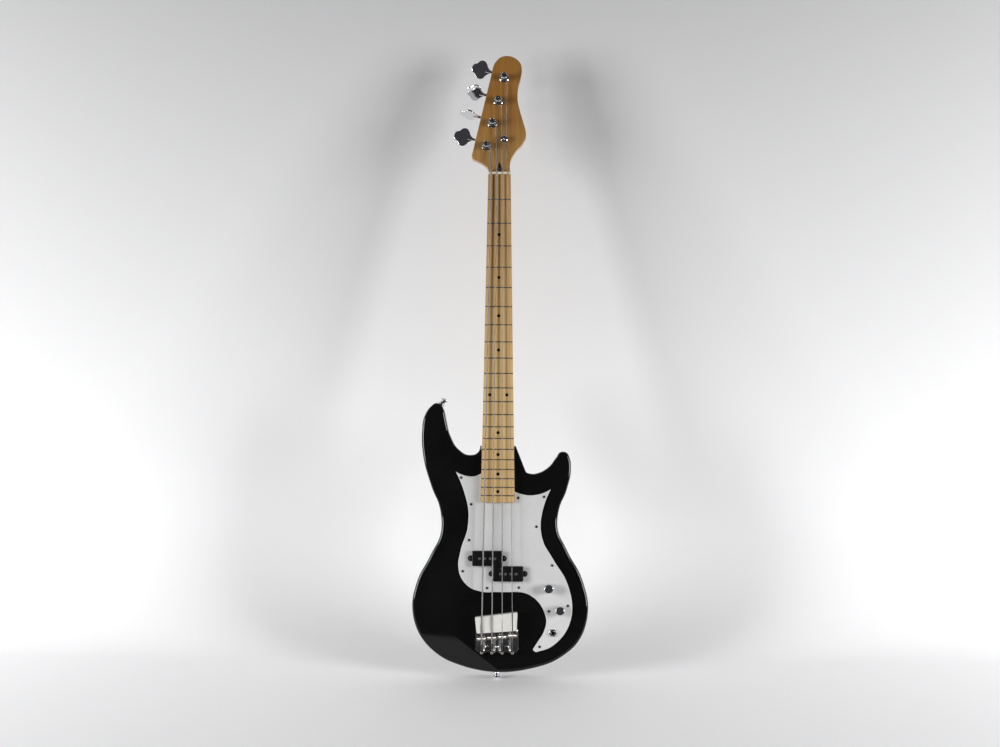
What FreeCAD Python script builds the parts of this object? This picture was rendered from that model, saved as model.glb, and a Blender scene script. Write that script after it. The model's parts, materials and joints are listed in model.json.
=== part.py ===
import FreeCAD
import Part
import Sketcher
import os
from math import acos, asin, atan2, cos, degrees, pi, radians, sin, sqrt, tan
from types import SimpleNamespace

from FreeCAD import Placement, Rotation, Vector

# Electric bass guitar with a bolt-on neck, standing upright on the end of its body.
# Every piece is modelled lying on its back: x to the treble side, y along the neck from the
# end of the body, z towards the front from the middle of the body. STAND then sets it upright.
STAND = Placement(Vector(0, 0, 0), Rotation(Vector(1, 0, 0), 90))

SIZES = {
    # body
    "body_thickness": 43.0,
    "body_edge_radius": 6.0,
    "neck_pocket_depth": 16.0,
    "pocket_mouth": 418.5,
    "pocket_clearance": 0.3,
    "arm_bevel_angle": 10.8,
    "arm_bevel_blend": 40.0,
    "arm_bevel_length": 340.0,
    "belly_scoop_radius": 171.0,
    "belly_scoop_depth": 14.0,
    "cutaway_step_radius": 26.8,
    "cutaway_step_depth": 12.0,
    "heel_side_radius": 3.0,
    "pickup_cavity_depth": 22.0,
    "control_cavity_depth": 33.0,
    "control_cavity_width": 29.0,
    "wire_channel_width": 12.0,
    # neck and fretboard
    "scale_length": 863.6,
    "saddle_line": 69.0,
    "fret_count": 21,
    "board_overhang": 12.6,
    "board_thickness": 6.0,
    "board_radius": 254.0,
    "nut_width": 42.5,
    "heel_width": 63.0,
    "heel_corner_radius": 3.5,
    "heel_thickness": 19.4,
    "heel_cove_radius": 15.0,
    "shaft_depth_at_nut": 15.0,
    "shaft_depth_at_heel": 16.5,
    "fret_width": 2.5,
    "fret_height": 1.2,
    "fret_tang_width": 0.55,
    "fret_tang_depth": 1.5,
    "fret_inset": 0.5,
    "dot_radius": 3.0,
    "dot_depth": 2.0,
    "octave_dot_spacing": 32.0,
    "inlay_clearance": 0.05,
    "nut_thickness": 4.0,
    "nut_height_over_board": 3.2,
    # headstock
    "head_drop": 7.5,
    "head_thickness": 14.5,
    "head_shelf": 3.5,
    "head_ramp_length": 12.0,
    "head_cove_radius": 13.0,
    "head_edge_radius": 1.5,
    "head_edge_angle": 14.4,
    # truss rod
    "truss_rod_radius": 2.4,
    "truss_rod_depth": 7.0,
    "truss_rod_start": 30.0,
    "truss_channel_width": 6.0,
    "truss_slot_width": 7.6,
    "truss_slot_length": 21.0,
    "truss_nut_radius": 3.3,
    "truss_nut_length": 10.0,
    "truss_nut_socket": 4.0,
    # strings
    "string_spacing_at_bridge": 19.0,
    "string_spacing_at_nut": 10.6,
    "string_height_at_nut": 1.7,
    "string_height_at_saddle": 5.6,
    "string_radius_e": 1.335,
    "string_radius_a": 1.08,
    "string_radius_d": 0.825,
    "string_radius_g": 0.57,
    "winding_gap": 0.45,
    "string_clearance": 0.25,
    "string_bend_radius": 8.0,
    "ball_end_radius": 2.9,
    "ball_end_length": 4.5,
    # pickguard
    "pickguard_thickness": 2.3,
    "pickguard_bevel": 1.0,
    "pickguard_gap": 0.5,
    # pickups
    "pickup_length": 55.5,
    "pickup_width": 27.6,
    "pickup_rise": 7.4,
    "pickup_sink": 9.0,
    "pickup_wall": 1.5,
    "pickup_ear_radius": 5.0,
    "pickup_ear_offset": 3.0,
    "pickup_ear_rise": 1.2,
    "pickup_ear_thickness": 3.4,
    "pickup_corner_radius": 2.5,
    "pickup_edge_radius": 0.8,
    "pole_radius": 2.4,
    "pole_spacing": 9.6,
    "pole_rise": 0.6,
    "coil_height": 9.0,
    # bridge
    "bridge_width": 80.0,
    "bridge_rear": 40.0,
    "bridge_front": 82.0,
    "bridge_plate_thickness": 2.0,
    "bridge_lip_height": 15.5,
    "bridge_lip_thickness": 2.2,
    "saddle_radius": 4.3,
    "saddle_length": 18.4,
    "saddle_step": 2.0,
    "saddle_groove_depth": 0.5,
    "saddle_screw_offset": 4.5,
    "height_screw_offset": 7.5,
    "height_screw_radius": 1.2,
    "intonation_screw_radius": 1.4,
    "screw_thread_clearance": 0.05,
    "spring_coil_radius": 2.05,
    "spring_wire_radius": 0.3,
    "spring_turns": 8,
    "mute_rise": 1.2,
    # tuning machines
    "post_radius": 5.0,
    "post_rise": 19.0,
    "post_slot_width": 3.2,
    "post_slot_depth": 8.5,
    "post_clearance": 0.06,
    "bushing_radius": 6.5,
    "bushing_flange_radius": 9.0,
    "bushing_flange_thickness": 2.0,
    "tuner_plate_thickness": 1.5,
    "tuner_plate_inner": 19.0,
    "tuner_plate_outer": 23.5,
    "tuner_plate_half_width": 17.5,
    "gear_teeth": 20,
    "gear_module": 0.8,
    "gear_thickness": 3.6,
    "gear_addendum": 0.7,
    "gear_dedendum": 1.0,
    "worm_radius": 3.2,
    "worm_length": 11.0,
    "worm_drop": 6.1,
    "worm_ear_thickness": 2.0,
    "worm_end_play": 0.4,
    "worm_ear_wall": 2.2,
    "post_plate_gap": 0.4,
    "key_shaft_radius": 1.9,
    "key_start": 37.0,
    "key_length": 30.0,
    "key_width": 36.0,
    "key_thickness": 3.2,
    "key_edge_radius": 1.2,
    "key_turn_e": 90.0,
    "key_turn_a": 12.0,
    "key_turn_d": 40.0,
    "key_turn_g": 75.0,
    "tree_radius": 6.5,
    "tree_thickness": 2.6,
    "tree_rise": 5.5,
    "tree_string_gap": 0.9,
    "tree_spacer_radius": 2.2,
    # controls
    "pot_radius": 12.0,
    "pot_height": 9.5,
    "pot_bushing_radius": 3.6,
    "pot_bushing_rise": 3.4,
    "pot_shaft_radius": 3.0,
    "pot_shaft_rise": 12.5,
    "control_nut_flats": 10.0,
    "control_nut_thickness": 2.2,
    "knob_radius": 9.0,
    "knob_top_radius": 8.4,
    "knob_height": 14.0,
    "knob_gap": 0.4,
    "jack_bore_radius": 3.2,
    "jack_sleeve_radius": 4.7,
    "jack_sleeve_depth": 12.0,
    "jack_sleeve_rise": 3.0,
    "jack_nut_flats": 13.0,
    # fasteners and buttons
    "screw_clearance": 0.05,
    "neck_plate_width": 51.0,
    "neck_plate_length": 64.0,
    "neck_plate_thickness": 2.0,
    "neck_screw_radius": 2.1,
    "neck_screw_length": 42.0,
    "neck_screw_inset": 7.5,
    "pickguard_screw_radius": 1.3,
    "pickguard_screw_length": 11.0,
    "bridge_screw_radius": 1.6,
    "bridge_screw_length": 24.0,
    "tuner_screw_radius": 1.1,
    "tuner_screw_length": 9.0,
    "pickup_screw_radius": 1.4,
    "strap_button_radius": 7.5,
    "strap_button_waist": 4.6,
    "strap_button_height": 12.0,
    "strap_screw_radius": 1.8,
    "strap_screw_length": 24.0,
    "wire_radius": 0.8,
}

# Outlines in millimetres: (x, y) on the front of the body, y from the end of the body.
BODY_OUTLINE = [
    (-38, 406), (-55, 401.3), (-75.6, 413.3), (-90.5, 439), (-98, 468), (-102.2, 486), (-108, 496),
    (-117.5, 498.3), (-127.5, 491.5), (-138.5, 474), (-143.2, 440), (-139.3, 393), (-124.5, 342.5),
    (-108, 300.5), (-106.2, 256), (-126, 212.5), (-148.5, 169), (-158.2, 119), (-146.2, 70.5),
    (-107.5, 28.7), (-57.2, 8.2), (0, 0), (58.5, 5.8), (112, 24), (151, 57), (169, 112), (157, 174),
    (130.5, 223.2), (111.9, 267), (114.8, 300), (129.8, 339), (137, 376), (135.3, 395), (128.2, 406.8),
    (118.2, 407.8), (108.8, 396.5), (96.5, 380.5), (80, 369.8), (65, 366.4), (53, 369.5),
]
HEEL_CORNERS_X = (-33.5, 33.5)
ARM_BEVEL_START = (-158, 137.6)
ARM_BEVEL_END = (5, 1.7)
BELLY_SCOOP_CENTRE_Y = 358.0
BELLY_SCOOP_INNER_X = -72.0
BELLY_SCOOP_EDGE_X = -140.0
CUTAWAY_STEP_CENTRE = (55.9, 395.9)

# Pickguard: each stretch runs between two pointed corners or meets the neck.
PICKGUARD_TOP_BASS = [(-31.5, 367), (-38, 363.2), (-49, 361), (-63, 363.2), (-78.7, 370)]
PICKGUARD_BASS_SIDE = [
    (-78.7, 370), (-64, 336), (-54.5, 296), (-55.5, 268), (-69, 222), (-72.8, 198), (-68, 175),
    (-52, 156.5), (-30, 148.2), (0, 147.4), (34, 147.8),
]
PICKGUARD_BRIDGE_SIDE = [
    (34, 147.8), (55, 144.5), (74, 132), (87, 112), (91, 95), (86, 74), (74.5, 55.8), (66.4, 43.3),
]
PICKGUARD_TAIL = [(66.4, 43.3), (68.5, 40), (83, 41), (108, 53.5)]
PICKGUARD_TREBLE_SIDE = [
    (108, 53.5), (126, 73.5), (138, 105), (139, 123), (129.5, 165), (102, 211), (85, 241),
    (80, 270), (84.5, 301), (99, 338),
]
PICKGUARD_TOP_TREBLE = [(99, 338), (82, 330), (62, 326.5), (45, 328.5), (31.5, 333.2)]
PICKGUARD_SCREWS = [
    (-68.6, 358.8), (-49.5, 309.4), (-53, 243), (-64.3, 185.6), (-19, 155), (40, 156), (95.6, 112.8),
    (78.8, 48), (131, 123), (101.7, 197), (72.3, 268.4), (86.4, 323.8), (38.4, 321.8),
]

# Headstock, (x, u) with u the distance past the nut.
HEAD_BASS_FOOT = [(-20.3, 4), (-22, 10.8), (-30, 20), (-41, 26.2), (-51.3, 31.5)]
HEAD_BASS_CORNER = [(-51.3, 31.5), (-53, 35), (-52.3, 41)]
HEAD_TIP = [
    (-14.6, 204), (-9, 219.8), (1, 229.6), (16, 232.4), (30, 227.6), (39.6, 217.3), (42, 204),
    (39.6, 187.5), (34.6, 165), (34.2, 146.5), (38.4, 126), (45.3, 102.5), (50.2, 83), (50, 72.5),
    (44.5, 61.8), (31.5, 46.8), (22.5, 30), (20, 16), (20.5, 4),
]

# Control positions on the face of the body.
VOLUME_AT = (95.1, 154.5)
TONE_AT = (116.1, 114.3)
JACK_AT = (103.0, 73.4)
BASS_PICKUP_AT = (-18.8, 209.5)
TREBLE_PICKUP_AT = (20.0, 181.3)
BRIDGE_SCREWS = [(-19, 47.5), (0, 47.5), (19, 47.5), (-35, 77), (35, 77)]
MUTE_CORNERS = [(-37.5, 73), (36, 78.3), (37.5, 112), (-41, 102.5)]
END_BUTTON_POINT = (0, 0)
HORN_BUTTON_POINT = (-108, 496)
TREE_AT = (8.6, 68.6)
# Half of a key's outline: shares of its half width and, from its root, of its length.
KEY_OUTLINE = [
    (0.172, -0.3), (0.228, -0.167), (0.411, -0.03), (0.7, 0.08), (0.939, 0.23), (1.0, 0.383),
    (0.911, 0.553), (0.689, 0.667), (0.55, 0.74), (0.494, 0.84), (0.3, 0.963), (0, 1.0),
]
TUNERS = {"e": (-25.3, 56.0), "a": (-14.2, 100.0), "d": (-3.2, 143.5), "g": (8.0, 188.5)}
STRING_NAMES = ["e", "a", "d", "g"]
WINDING_TURNS = {"e": 2, "a": 2, "d": 3, "g": 3}
DOT_FRETS = [3, 5, 7, 9, 15, 17, 19, 21]

doc = FreeCAD.newDocument("bass_guitar")
sheet = doc.addObject("Spreadsheet::Sheet", "Sizes")
for row, (alias, value) in enumerate(SIZES.items(), start=1):
    sheet.set(f"A{row}", alias)
    sheet.set(f"B{row}", str(value))
    sheet.setAlias(f"B{row}", alias)
doc.recompute()
dim = SimpleNamespace(**{alias: float(sheet.get(alias)) for alias in SIZES})

# Heights (z) and places along the neck (y) that several pieces share.
face = dim.body_thickness / 2
back = -face
guard_top = face + dim.pickguard_thickness
glue = face - dim.neck_pocket_depth + dim.heel_thickness
crown = glue + dim.board_thickness
head_face = crown - dim.head_drop
head_back = head_face - dim.head_thickness
nut_y = dim.saddle_line + dim.scale_length
nut_back = nut_y + dim.nut_thickness
rod_z = glue - dim.truss_rod_depth
plate_top = face + dim.bridge_plate_thickness

sub_parts = []


def fret_y(number):
    return dim.saddle_line + dim.scale_length / 2 ** (number / 12)


board_end = fret_y(dim.fret_count) - dim.board_overhang


def board_width(y):
    """Width of the fretboard, which tapers from the heel to the nut."""
    return dim.nut_width + (dim.heel_width - dim.nut_width) * (nut_y - y) / (nut_y - board_end)


def sub_part(obj, label):
    """Name a finished object and stand it upright with the rest of the instrument."""
    obj.Label = label
    obj.Placement = STAND
    sub_parts.append(obj)
    return obj


def shape_part(label, shape):
    """A piece whose shape is made with solid-modelling functions from the sheet's sizes."""
    obj = doc.addObject("Part::Feature", label)
    obj.Shape = shape
    own_place = obj.Placement
    sub_part(obj, label)
    obj.Placement = STAND.multiply(own_place)
    return obj


def design_body(label):
    return sub_part(doc.addObject("PartDesign::Body", label), label)


def sketch_on(body, name, height):
    """A sketch parallel to the front of the body; height is an expression for its z."""
    plane = next(f for f in body.Origin.OriginFeatures if f.Role == "XY_Plane")
    sketch = body.newObject("Sketcher::SketchObject", name)
    sketch.AttachmentSupport = [(plane, "")]
    sketch.MapMode = "FlatFace"
    sketch.setExpression(".AttachmentOffset.Base.z", height)
    return sketch


def profile_on(body, name):
    """A sketch on the plane of x and z, for a shape turned about the z axis."""
    plane = next(f for f in body.Origin.OriginFeatures if f.Role == "XZ_Plane")
    sketch = body.newObject("Sketcher::SketchObject", name)
    sketch.AttachmentSupport = [(plane, "")]
    sketch.MapMode = "FlatFace"
    return sketch


def add_lines(sketch, points):
    """Closed run of straight edges through (x, y) points."""
    for start, end in zip(points, points[1:] + points[:1]):
        sketch.addGeometry(Part.LineSegment(Vector(*start, 0), Vector(*end, 0)), False)


def add_curve(sketch, points):
    """Smooth chain of arcs through (x, y) points."""
    for arc in arc_chain([Vector(*p, 0) for p in points]):
        sketch.addGeometry(arc, False)


def add_circle(sketch, centre, alias_expression, radius):
    """Circle whose radius is bound to the sheet."""
    index = sketch.addGeometry(Part.Circle(Vector(*centre, 0), Vector(0, 0, 1), radius), False)
    number = sketch.addConstraint(Sketcher.Constraint("Radius", index, radius))
    sketch.setExpression(f"Constraints[{number}]", alias_expression)


def add_slot(sketch, first, second, width):
    """Straight slot with round ends between two centres."""
    a, b = Vector(*first, 0), Vector(*second, 0)
    along = (b - a).normalize()
    side = Vector(-along.y, along.x, 0) * (width / 2)
    reach = along * (width / 2)
    sketch.addGeometry(Part.Arc(a + side, a - reach, a - side), False)
    sketch.addGeometry(Part.LineSegment(a - side, b - side), False)
    sketch.addGeometry(Part.Arc(b - side, b + reach, b + side), False)
    sketch.addGeometry(Part.LineSegment(b + side, a + side), False)


def rounded_rectangle(centre, length, width, radius):
    """Edges of a rectangle with round corners, lengths along x and y."""
    x, y = centre
    dx, dy, k = length / 2, width / 2, radius * (1 - sqrt(0.5))
    edges = []
    corners = [(1, 1), (-1, 1), (-1, -1), (1, -1)]
    for (sx, sy), (tx, ty) in zip(corners, corners[1:] + corners[:1]):
        ends = [
            Vector(x + sx * dx, y + sy * (dy - radius), 0),
            Vector(x + sx * (dx - radius), y + sy * dy, 0),
        ]
        if sx * sy < 0:
            ends.reverse()
        middle = Vector(x + sx * (dx - k), y + sy * (dy - k), 0)
        edges.append(Part.Arc(ends[0], middle, ends[1]))
        start_next = Vector(x + tx * dx, y + ty * (dy - radius), 0)
        if tx * ty < 0:
            start_next = Vector(x + tx * (dx - radius), y + ty * dy, 0)
        edges.append(Part.LineSegment(ends[1], start_next))
    return edges


def pad(body, sketch, length):
    feature = body.newObject("PartDesign::Pad", sketch.Name + "_pad")
    feature.Profile = sketch
    feature.setExpression("Length", length)
    doc.recompute()
    return feature


def pocket(body, sketch, depth):
    """Cut downwards from the sketch and make sure that it removed something."""
    before = body.Shape.Volume
    feature = body.newObject("PartDesign::Pocket", sketch.Name + "_pocket")
    feature.Profile = sketch
    feature.setExpression("Length", depth)
    doc.recompute()
    if abs(body.Shape.Volume - before) < 1e-3:
        raise ValueError(f"{sketch.Name} cut nothing")
    return feature


def hole_pocket(body, name, height, centres, alias_expression, radius, depth):
    sketch = sketch_on(body, name, height)
    for centre in centres:
        add_circle(sketch, centre, alias_expression, radius)
    return pocket(body, sketch, depth)


def revolved(body, sketch):
    feature = body.newObject("PartDesign::Revolution", sketch.Name + "_turn")
    feature.Profile = sketch
    feature.ReferenceAxis = (sketch, ["V_Axis"])
    feature.Angle = 360
    doc.recompute()
    return feature


def turned(profile, base, axis):
    """Solid of revolution: profile holds (radius, distance along the axis)."""
    points = [Vector(r, 0, z) for r, z in profile]
    face_shape = Part.Face(Part.makePolygon(points + points[:1]))
    solid = face_shape.revolve(Vector(0, 0, 0), Vector(0, 0, 1), 360)
    solid.Placement = Placement(base, Rotation(Vector(0, 0, 1), axis))
    return solid


def prism(points, low, high):
    """Straight-sided block over a closed run of (x, y) points."""
    wire = Part.makePolygon([Vector(*p, low) for p in points + points[:1]])
    return Part.Face(wire).extrude(Vector(0, 0, high - low))


def hexagon(centre, flats, low, high):
    radius = flats / sqrt(3)
    x, y = centre
    points = [(x + radius * cos(k * pi / 3), y + radius * sin(k * pi / 3)) for k in range(6)]
    return prism(points, low, high)


def drilled(radius, base, axis, length):
    return Part.makeCylinder(radius, length, base, axis)


def pan_screw(radius, length, base, axis):
    """Screw with a low domed head: base is the underside of the head, axis points into the wood."""
    head = radius * 1.9
    rise = radius * 1.1
    profile = [
        (0, -rise), (head * 0.7, -rise * 0.8), (head, -rise * 0.2), (head, 0), (radius, 0),
        (radius, length - radius), (radius * 0.3, length), (0, length),
    ]
    return turned(profile, base, axis)


def arc_from_tangent(start, tangent, end):
    """Circular arc that leaves start along tangent and ends at end."""
    chord = end - start
    along = Vector(chord).normalize()
    side = tangent - along * tangent.dot(along)
    if side.Length < 1e-7:
        return Part.LineSegment(start, end)
    side.normalize()
    angle = acos(max(-1.0, min(1.0, tangent.dot(along))))
    middle = (start + end) * 0.5 + side * (chord.Length / 2 * tan(angle / 2))
    return Part.Arc(start, middle, end)


def biarc(start, start_tangent, end, end_tangent):
    """Two tangent arcs between two points with given directions."""
    chord = end - start
    total = start_tangent + end_tangent
    bend = 2 * (1 - start_tangent.dot(end_tangent))
    reach = chord.dot(total)
    if bend < 1e-9:
        handle = chord.dot(chord) / (4 * chord.dot(end_tangent))
    else:
        handle = (-reach + sqrt(reach * reach + bend * chord.dot(chord))) / bend
    middle = (start + start_tangent * handle + end - end_tangent * handle) * 0.5
    joint_way = (end - end_tangent * handle - start - start_tangent * handle).normalize()
    first = arc_from_tangent(start, start_tangent, middle)
    last = arc_from_tangent(middle, joint_way, end)
    return [first, last]


def arc_chain(points):
    """Tangent arcs through points; at each point the chain follows the circle of its neighbours."""
    steps = [b - a for a, b in zip(points, points[1:])]
    ways = []
    for step, following in zip(steps, steps[1:]):
        way = step * (1 / step.dot(step)) + following * (1 / following.dot(following))
        ways.append(way.normalize())
    first = steps[0] * (2 * steps[0].dot(ways[0]) / steps[0].dot(steps[0])) - ways[0]
    last = steps[-1] * (2 * steps[-1].dot(ways[-1]) / steps[-1].dot(steps[-1])) - ways[-1]
    ways = [first.normalize()] + ways + [last.normalize()]
    arcs = []
    for number in range(len(steps)):
        arcs += biarc(points[number], ways[number], points[number + 1], ways[number + 1])
    return arcs


def edges_of(curves):
    return [curve.toShape() for curve in curves]


def bent_curves(points, radius):
    """Straight runs through points, joined by tangent arcs of one radius."""
    curves = []
    start = points[0]
    for before, corner, after in zip(points, points[1:], points[2:]):
        back_way = (before - corner).normalize()
        on_way = (after - corner).normalize()
        half = acos(max(-1.0, min(1.0, back_way.dot(on_way)))) / 2
        reach = radius / tan(half)
        first = corner + back_way * reach
        last = corner + on_way * reach
        curves.append(Part.LineSegment(start, first))
        curves.append(arc_from_tangent(first, back_way * -1, last))
        start = last
    curves.append(Part.LineSegment(start, points[-1]))
    return curves


def bent_run(points, radius):
    return edges_of(bent_curves(points, radius))


def tube(edges, radius):
    """Round tube along a path of lines and arcs, checked against section times length."""
    path = Part.Wire(edges)
    start = edges[0].valueAt(edges[0].FirstParameter)
    direction = edges[0].tangentAt(edges[0].FirstParameter)
    ring = Part.Wire([Part.Circle(start, direction, radius).toShape()])
    solid = path.makePipeShell([ring], True, False)
    if abs(solid.Volume / (pi * radius * radius * path.Length) - 1) > 0.02:
        raise ValueError("tube volume is off")
    return solid


def helix_point(centre, radius, angle, climb, rise):
    """Point and unit tangent of a coil about z: rise per turn is climb, heights start at rise."""
    point = Vector(cos(angle) * radius, sin(angle) * radius, 0) + centre
    point.z = rise + climb * angle / (2 * pi)
    tangent = Vector(-sin(angle) * radius, cos(angle) * radius, climb / (2 * pi)).normalize()
    return point, tangent


def least_gap(edges, tube_radius, coil_radius):
    """Smallest gap between the turns of a wound tube, measured on points along its path."""
    points, reached = [], []
    walked = 0.0
    for edge in edges:
        count = max(2, round(edge.Length / tube_radius))
        for number in range(count):
            along = edge.Length * number / count
            points.append(edge.valueAt(edge.getParameterByLength(along)))
            reached.append(walked + along)
        walked += edge.Length
    half_turn = pi * coil_radius
    gap = walked
    for number, point in enumerate(points):
        for other in range(number + 1, len(points)):
            if reached[other] - reached[number] > half_turn:
                gap = min(gap, point.distanceToPoint(points[other]) - 2 * tube_radius)
    return gap


def wound_edges(centre, radius, start_angle, climb, rise, turns):
    """Arcs of a coil about z, with the end point and direction."""
    edges = []
    for quarter in range(4 * turns):
        angle = start_angle + quarter * pi / 2
        first, first_way = helix_point(centre, radius, angle, climb, rise)
        last, last_way = helix_point(centre, radius, angle + pi / 2, climb, rise)
        edges += edges_of(biarc(first, first_way, last, last_way))
    return edges, last, last_way


def string_radius(name):
    return getattr(dim, "string_radius_" + name)


def string_x(name, spacing):
    return (STRING_NAMES.index(name) - 1.5) * spacing


def string_bottom(x, y):
    """Height of the underside of a string over the face, which follows the board's radius."""
    share = (nut_y - y) / dim.scale_length
    lift = dim.string_height_at_nut
    lift += (dim.string_height_at_saddle - dim.string_height_at_nut) * share
    return crown + lift - x * x / (2 * dim.board_radius)


def saddle_y(name):
    """Saddles step towards the neck from the thickest string to the thinnest."""
    return dim.saddle_line - dim.saddle_step * (3 - STRING_NAMES.index(name))


def saddle_z(name):
    x = string_x(name, dim.string_spacing_at_bridge)
    return string_bottom(x, saddle_y(name)) + dim.saddle_groove_depth - dim.saddle_radius


def screw_x(name):
    """The intonation screw stands beside its string, on the side of the centre line."""
    x = string_x(name, dim.string_spacing_at_bridge)
    return x + (dim.saddle_screw_offset if x < 0 else -dim.saddle_screw_offset)


def tuner_axes(name):
    """Post centre, direction of the key shaft and rotation of a tuning machine."""
    x, u = TUNERS[name]
    angle = 180 - dim.head_edge_angle
    return Vector(x, nut_y + u, head_back), Rotation(Vector(0, 0, 1), angle)


def place_tuner(shape, name):
    base, turn = tuner_axes(name)
    copy = shape.copy()
    copy.Placement = Placement(base, turn).multiply(copy.Placement)
    return copy


def tuner_point(name, x, y, z):
    base, turn = tuner_axes(name)
    return base + turn.multVec(Vector(x, y, z))


def pickup_ears(centre):
    x, y = centre
    reach = dim.pickup_length / 2 + dim.pickup_ear_offset
    return [(x - reach, y), (x + reach, y)]


def neck_screw_places():
    x = dim.neck_plate_width / 2 - dim.neck_screw_inset
    y = dim.neck_plate_length / 2 - dim.neck_screw_inset
    middle = (board_end + dim.pocket_mouth) / 2
    return [(sx * x, middle + sy * y) for sx in (-1, 1) for sy in (-1, 1)]


def tuner_screw_places():
    inner = -dim.tuner_plate_inner + 4
    outer = dim.tuner_plate_outer - 4
    side = dim.tuner_plate_half_width - 4
    return [(inner, -side), (inner, side), (outer, -side), (outer, side)]


def heel_outline(gap, mouth):
    """Sides and rounded end of the heel with a gap all round, from the treble side to the bass side."""
    half_end = board_width(board_end) / 2 + gap
    half_mouth = board_width(mouth) / 2 + gap
    low = board_end - gap
    corners = [(half_mouth, mouth), (half_end, low), (-half_end, low), (-half_mouth, mouth)]
    return bent_curves([Vector(*p, 0) for p in corners], dim.heel_corner_radius + gap)


def heel_prism(mouth, low, high):
    """Block with the plan of the neck's end, tapered out to a y of mouth, between two heights."""
    curves = heel_outline(0, mouth)
    edges = edges_of(curves)
    edges.append(Part.makeLine(curves[-1].EndPoint, curves[0].StartPoint))
    block = Part.Face(Part.Wire(edges)).extrude(Vector(0, 0, high - low))
    block.translate(Vector(0, 0, low))
    return block


def body_curve():
    """Curved part of the body's outline, from the bass corner of the heel round to the cutaway."""
    return [(HEEL_CORNERS_X[0], dim.pocket_mouth)] + BODY_OUTLINE


def make_body():
    body = design_body("body")
    outline = sketch_on(body, "body_outline", "-Sizes.body_thickness / 2")
    points = body_curve()
    add_curve(outline, points)
    straight = [points[-1], (HEEL_CORNERS_X[1], dim.pocket_mouth), points[0]]
    for start, end in zip(straight, straight[1:]):
        outline.addGeometry(Part.LineSegment(Vector(*start, 0), Vector(*end, 0)), False)
    pad(body, outline, "Sizes.body_thickness")
    cut_arm_bevel(body)
    round_body_edges(body)
    cut_belly_scoop(body)
    cut_body_cavities(body)
    drill_body(body)
    return body


def cut_arm_bevel(body):
    """Flat bevel where the forearm rests, on the front of the bass side, blended into the face."""
    start, end = Vector(*ARM_BEVEL_START, 0), Vector(*ARM_BEVEL_END, 0)
    along = (end - start).normalize()
    outward = Vector(along.y, -along.x, 0)
    corner = (start + end) / 2 - along * dim.arm_bevel_length / 2 + Vector(0, 0, face)
    profile = body.newObject("Sketcher::SketchObject", "arm_bevel")
    profile.Placement = Placement(
        FreeCAD.Matrix(
            outward.x, 0, -along.x, corner.x,
            outward.y, 0, -along.y, corner.y,
            0, 1, 0, corner.z,
            0, 0, 0, 1,
        )
    )
    tilt = radians(dim.arm_bevel_angle)
    reach = dim.arm_bevel_blend * tan(tilt / 2)
    slope = Vector(cos(tilt), -sin(tilt), 0)
    inner = Vector(-reach, 0, 0)
    outer = slope * 150
    profile.addGeometry(arc_from_tangent(inner, Vector(1, 0, 0), slope * reach), False)
    corners = [slope * reach, outer, Vector(outer.x, 60, 0), Vector(-reach, 60, 0), inner]
    for first, last in zip(corners, corners[1:]):
        profile.addGeometry(Part.LineSegment(first, last), False)
    pocket(body, profile, "Sizes.arm_bevel_length")


def cut_belly_scoop(body):
    """Shallow round hollow on the back of the bass side, deepest at the edge."""
    tilt = atan2(dim.belly_scoop_depth, BELLY_SCOOP_INNER_X - BELLY_SCOOP_EDGE_X)
    scoop = body.newObject("PartDesign::SubtractiveCylinder", "belly_scoop")
    scoop.setExpression("Radius", "Sizes.belly_scoop_radius")
    scoop.Height = 160
    inner = Vector(BELLY_SCOOP_INNER_X, BELLY_SCOOP_CENTRE_Y, back - dim.belly_scoop_radius)
    axis = Vector(-cos(tilt), 0, sin(tilt))
    scoop.Placement = Placement(inner - axis * 20, Rotation(Vector(0, 0, 1), axis))
    doc.recompute()


def round_body_edges(body):
    """Round the outline's edges on the front and the back."""
    names = []
    curve = Part.Wire(edges_of(arc_chain([Vector(*p, back) for p in body_curve()])))
    outline = curve.extrude(Vector(0, 0, dim.body_thickness))
    for number, edge in enumerate(body.Tip.Shape.Edges, start=1):
        middle = (edge.FirstParameter + edge.LastParameter) / 2
        upright = abs(edge.tangentAt(middle).z) > 0.9
        if not upright and outline.distToShape(Part.Vertex(edge.valueAt(middle)))[0] < 1e-3:
            names.append(f"Edge{number}")
    base = body.Tip
    rounding = body.newObject("PartDesign::Fillet", "edge_rounding")
    rounding.Base = (base, names)
    rounding.setExpression("Radius", "Sizes.body_edge_radius")
    doc.recompute()


def cut_body_cavities(body):
    heel = sketch_on(body, "neck_pocket", "Sizes.body_thickness / 2")
    sides = heel_outline(dim.pocket_clearance, dim.pocket_mouth + 60)
    sides.append(Part.LineSegment(sides[-1].EndPoint, sides[0].StartPoint))
    for curve in sides:
        heel.addGeometry(curve, False)
    pocket(body, heel, "Sizes.neck_pocket_depth")
    cut_cutaway_step(body)
    round_heel_side(body, face - dim.cutaway_step_depth)
    for name, centre in (("bass", BASS_PICKUP_AT), ("treble", TREBLE_PICKUP_AT)):
        well = sketch_on(body, f"{name}_pickup_well", "Sizes.body_thickness / 2")
        length = dim.pickup_length + 2 * (dim.pickup_ear_offset + dim.pickup_ear_radius) + 3
        for edge in rounded_rectangle(centre, length, dim.pickup_width + 2, 6):
            well.addGeometry(edge, False)
        pocket(body, well, "Sizes.pickup_cavity_depth")
    for name, first, second in (("upper", VOLUME_AT, TONE_AT), ("lower", TONE_AT, JACK_AT)):
        well = sketch_on(body, f"{name}_control_well", "Sizes.body_thickness / 2")
        add_slot(well, first, second, dim.control_cavity_width)
        pocket(body, well, "Sizes.control_cavity_depth")
    channel = sketch_on(body, "wire_channel", "Sizes.body_thickness / 2")
    add_slot(channel, TREBLE_PICKUP_AT, VOLUME_AT, dim.wire_channel_width)
    pocket(body, channel, "Sizes.pickup_cavity_depth")


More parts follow.
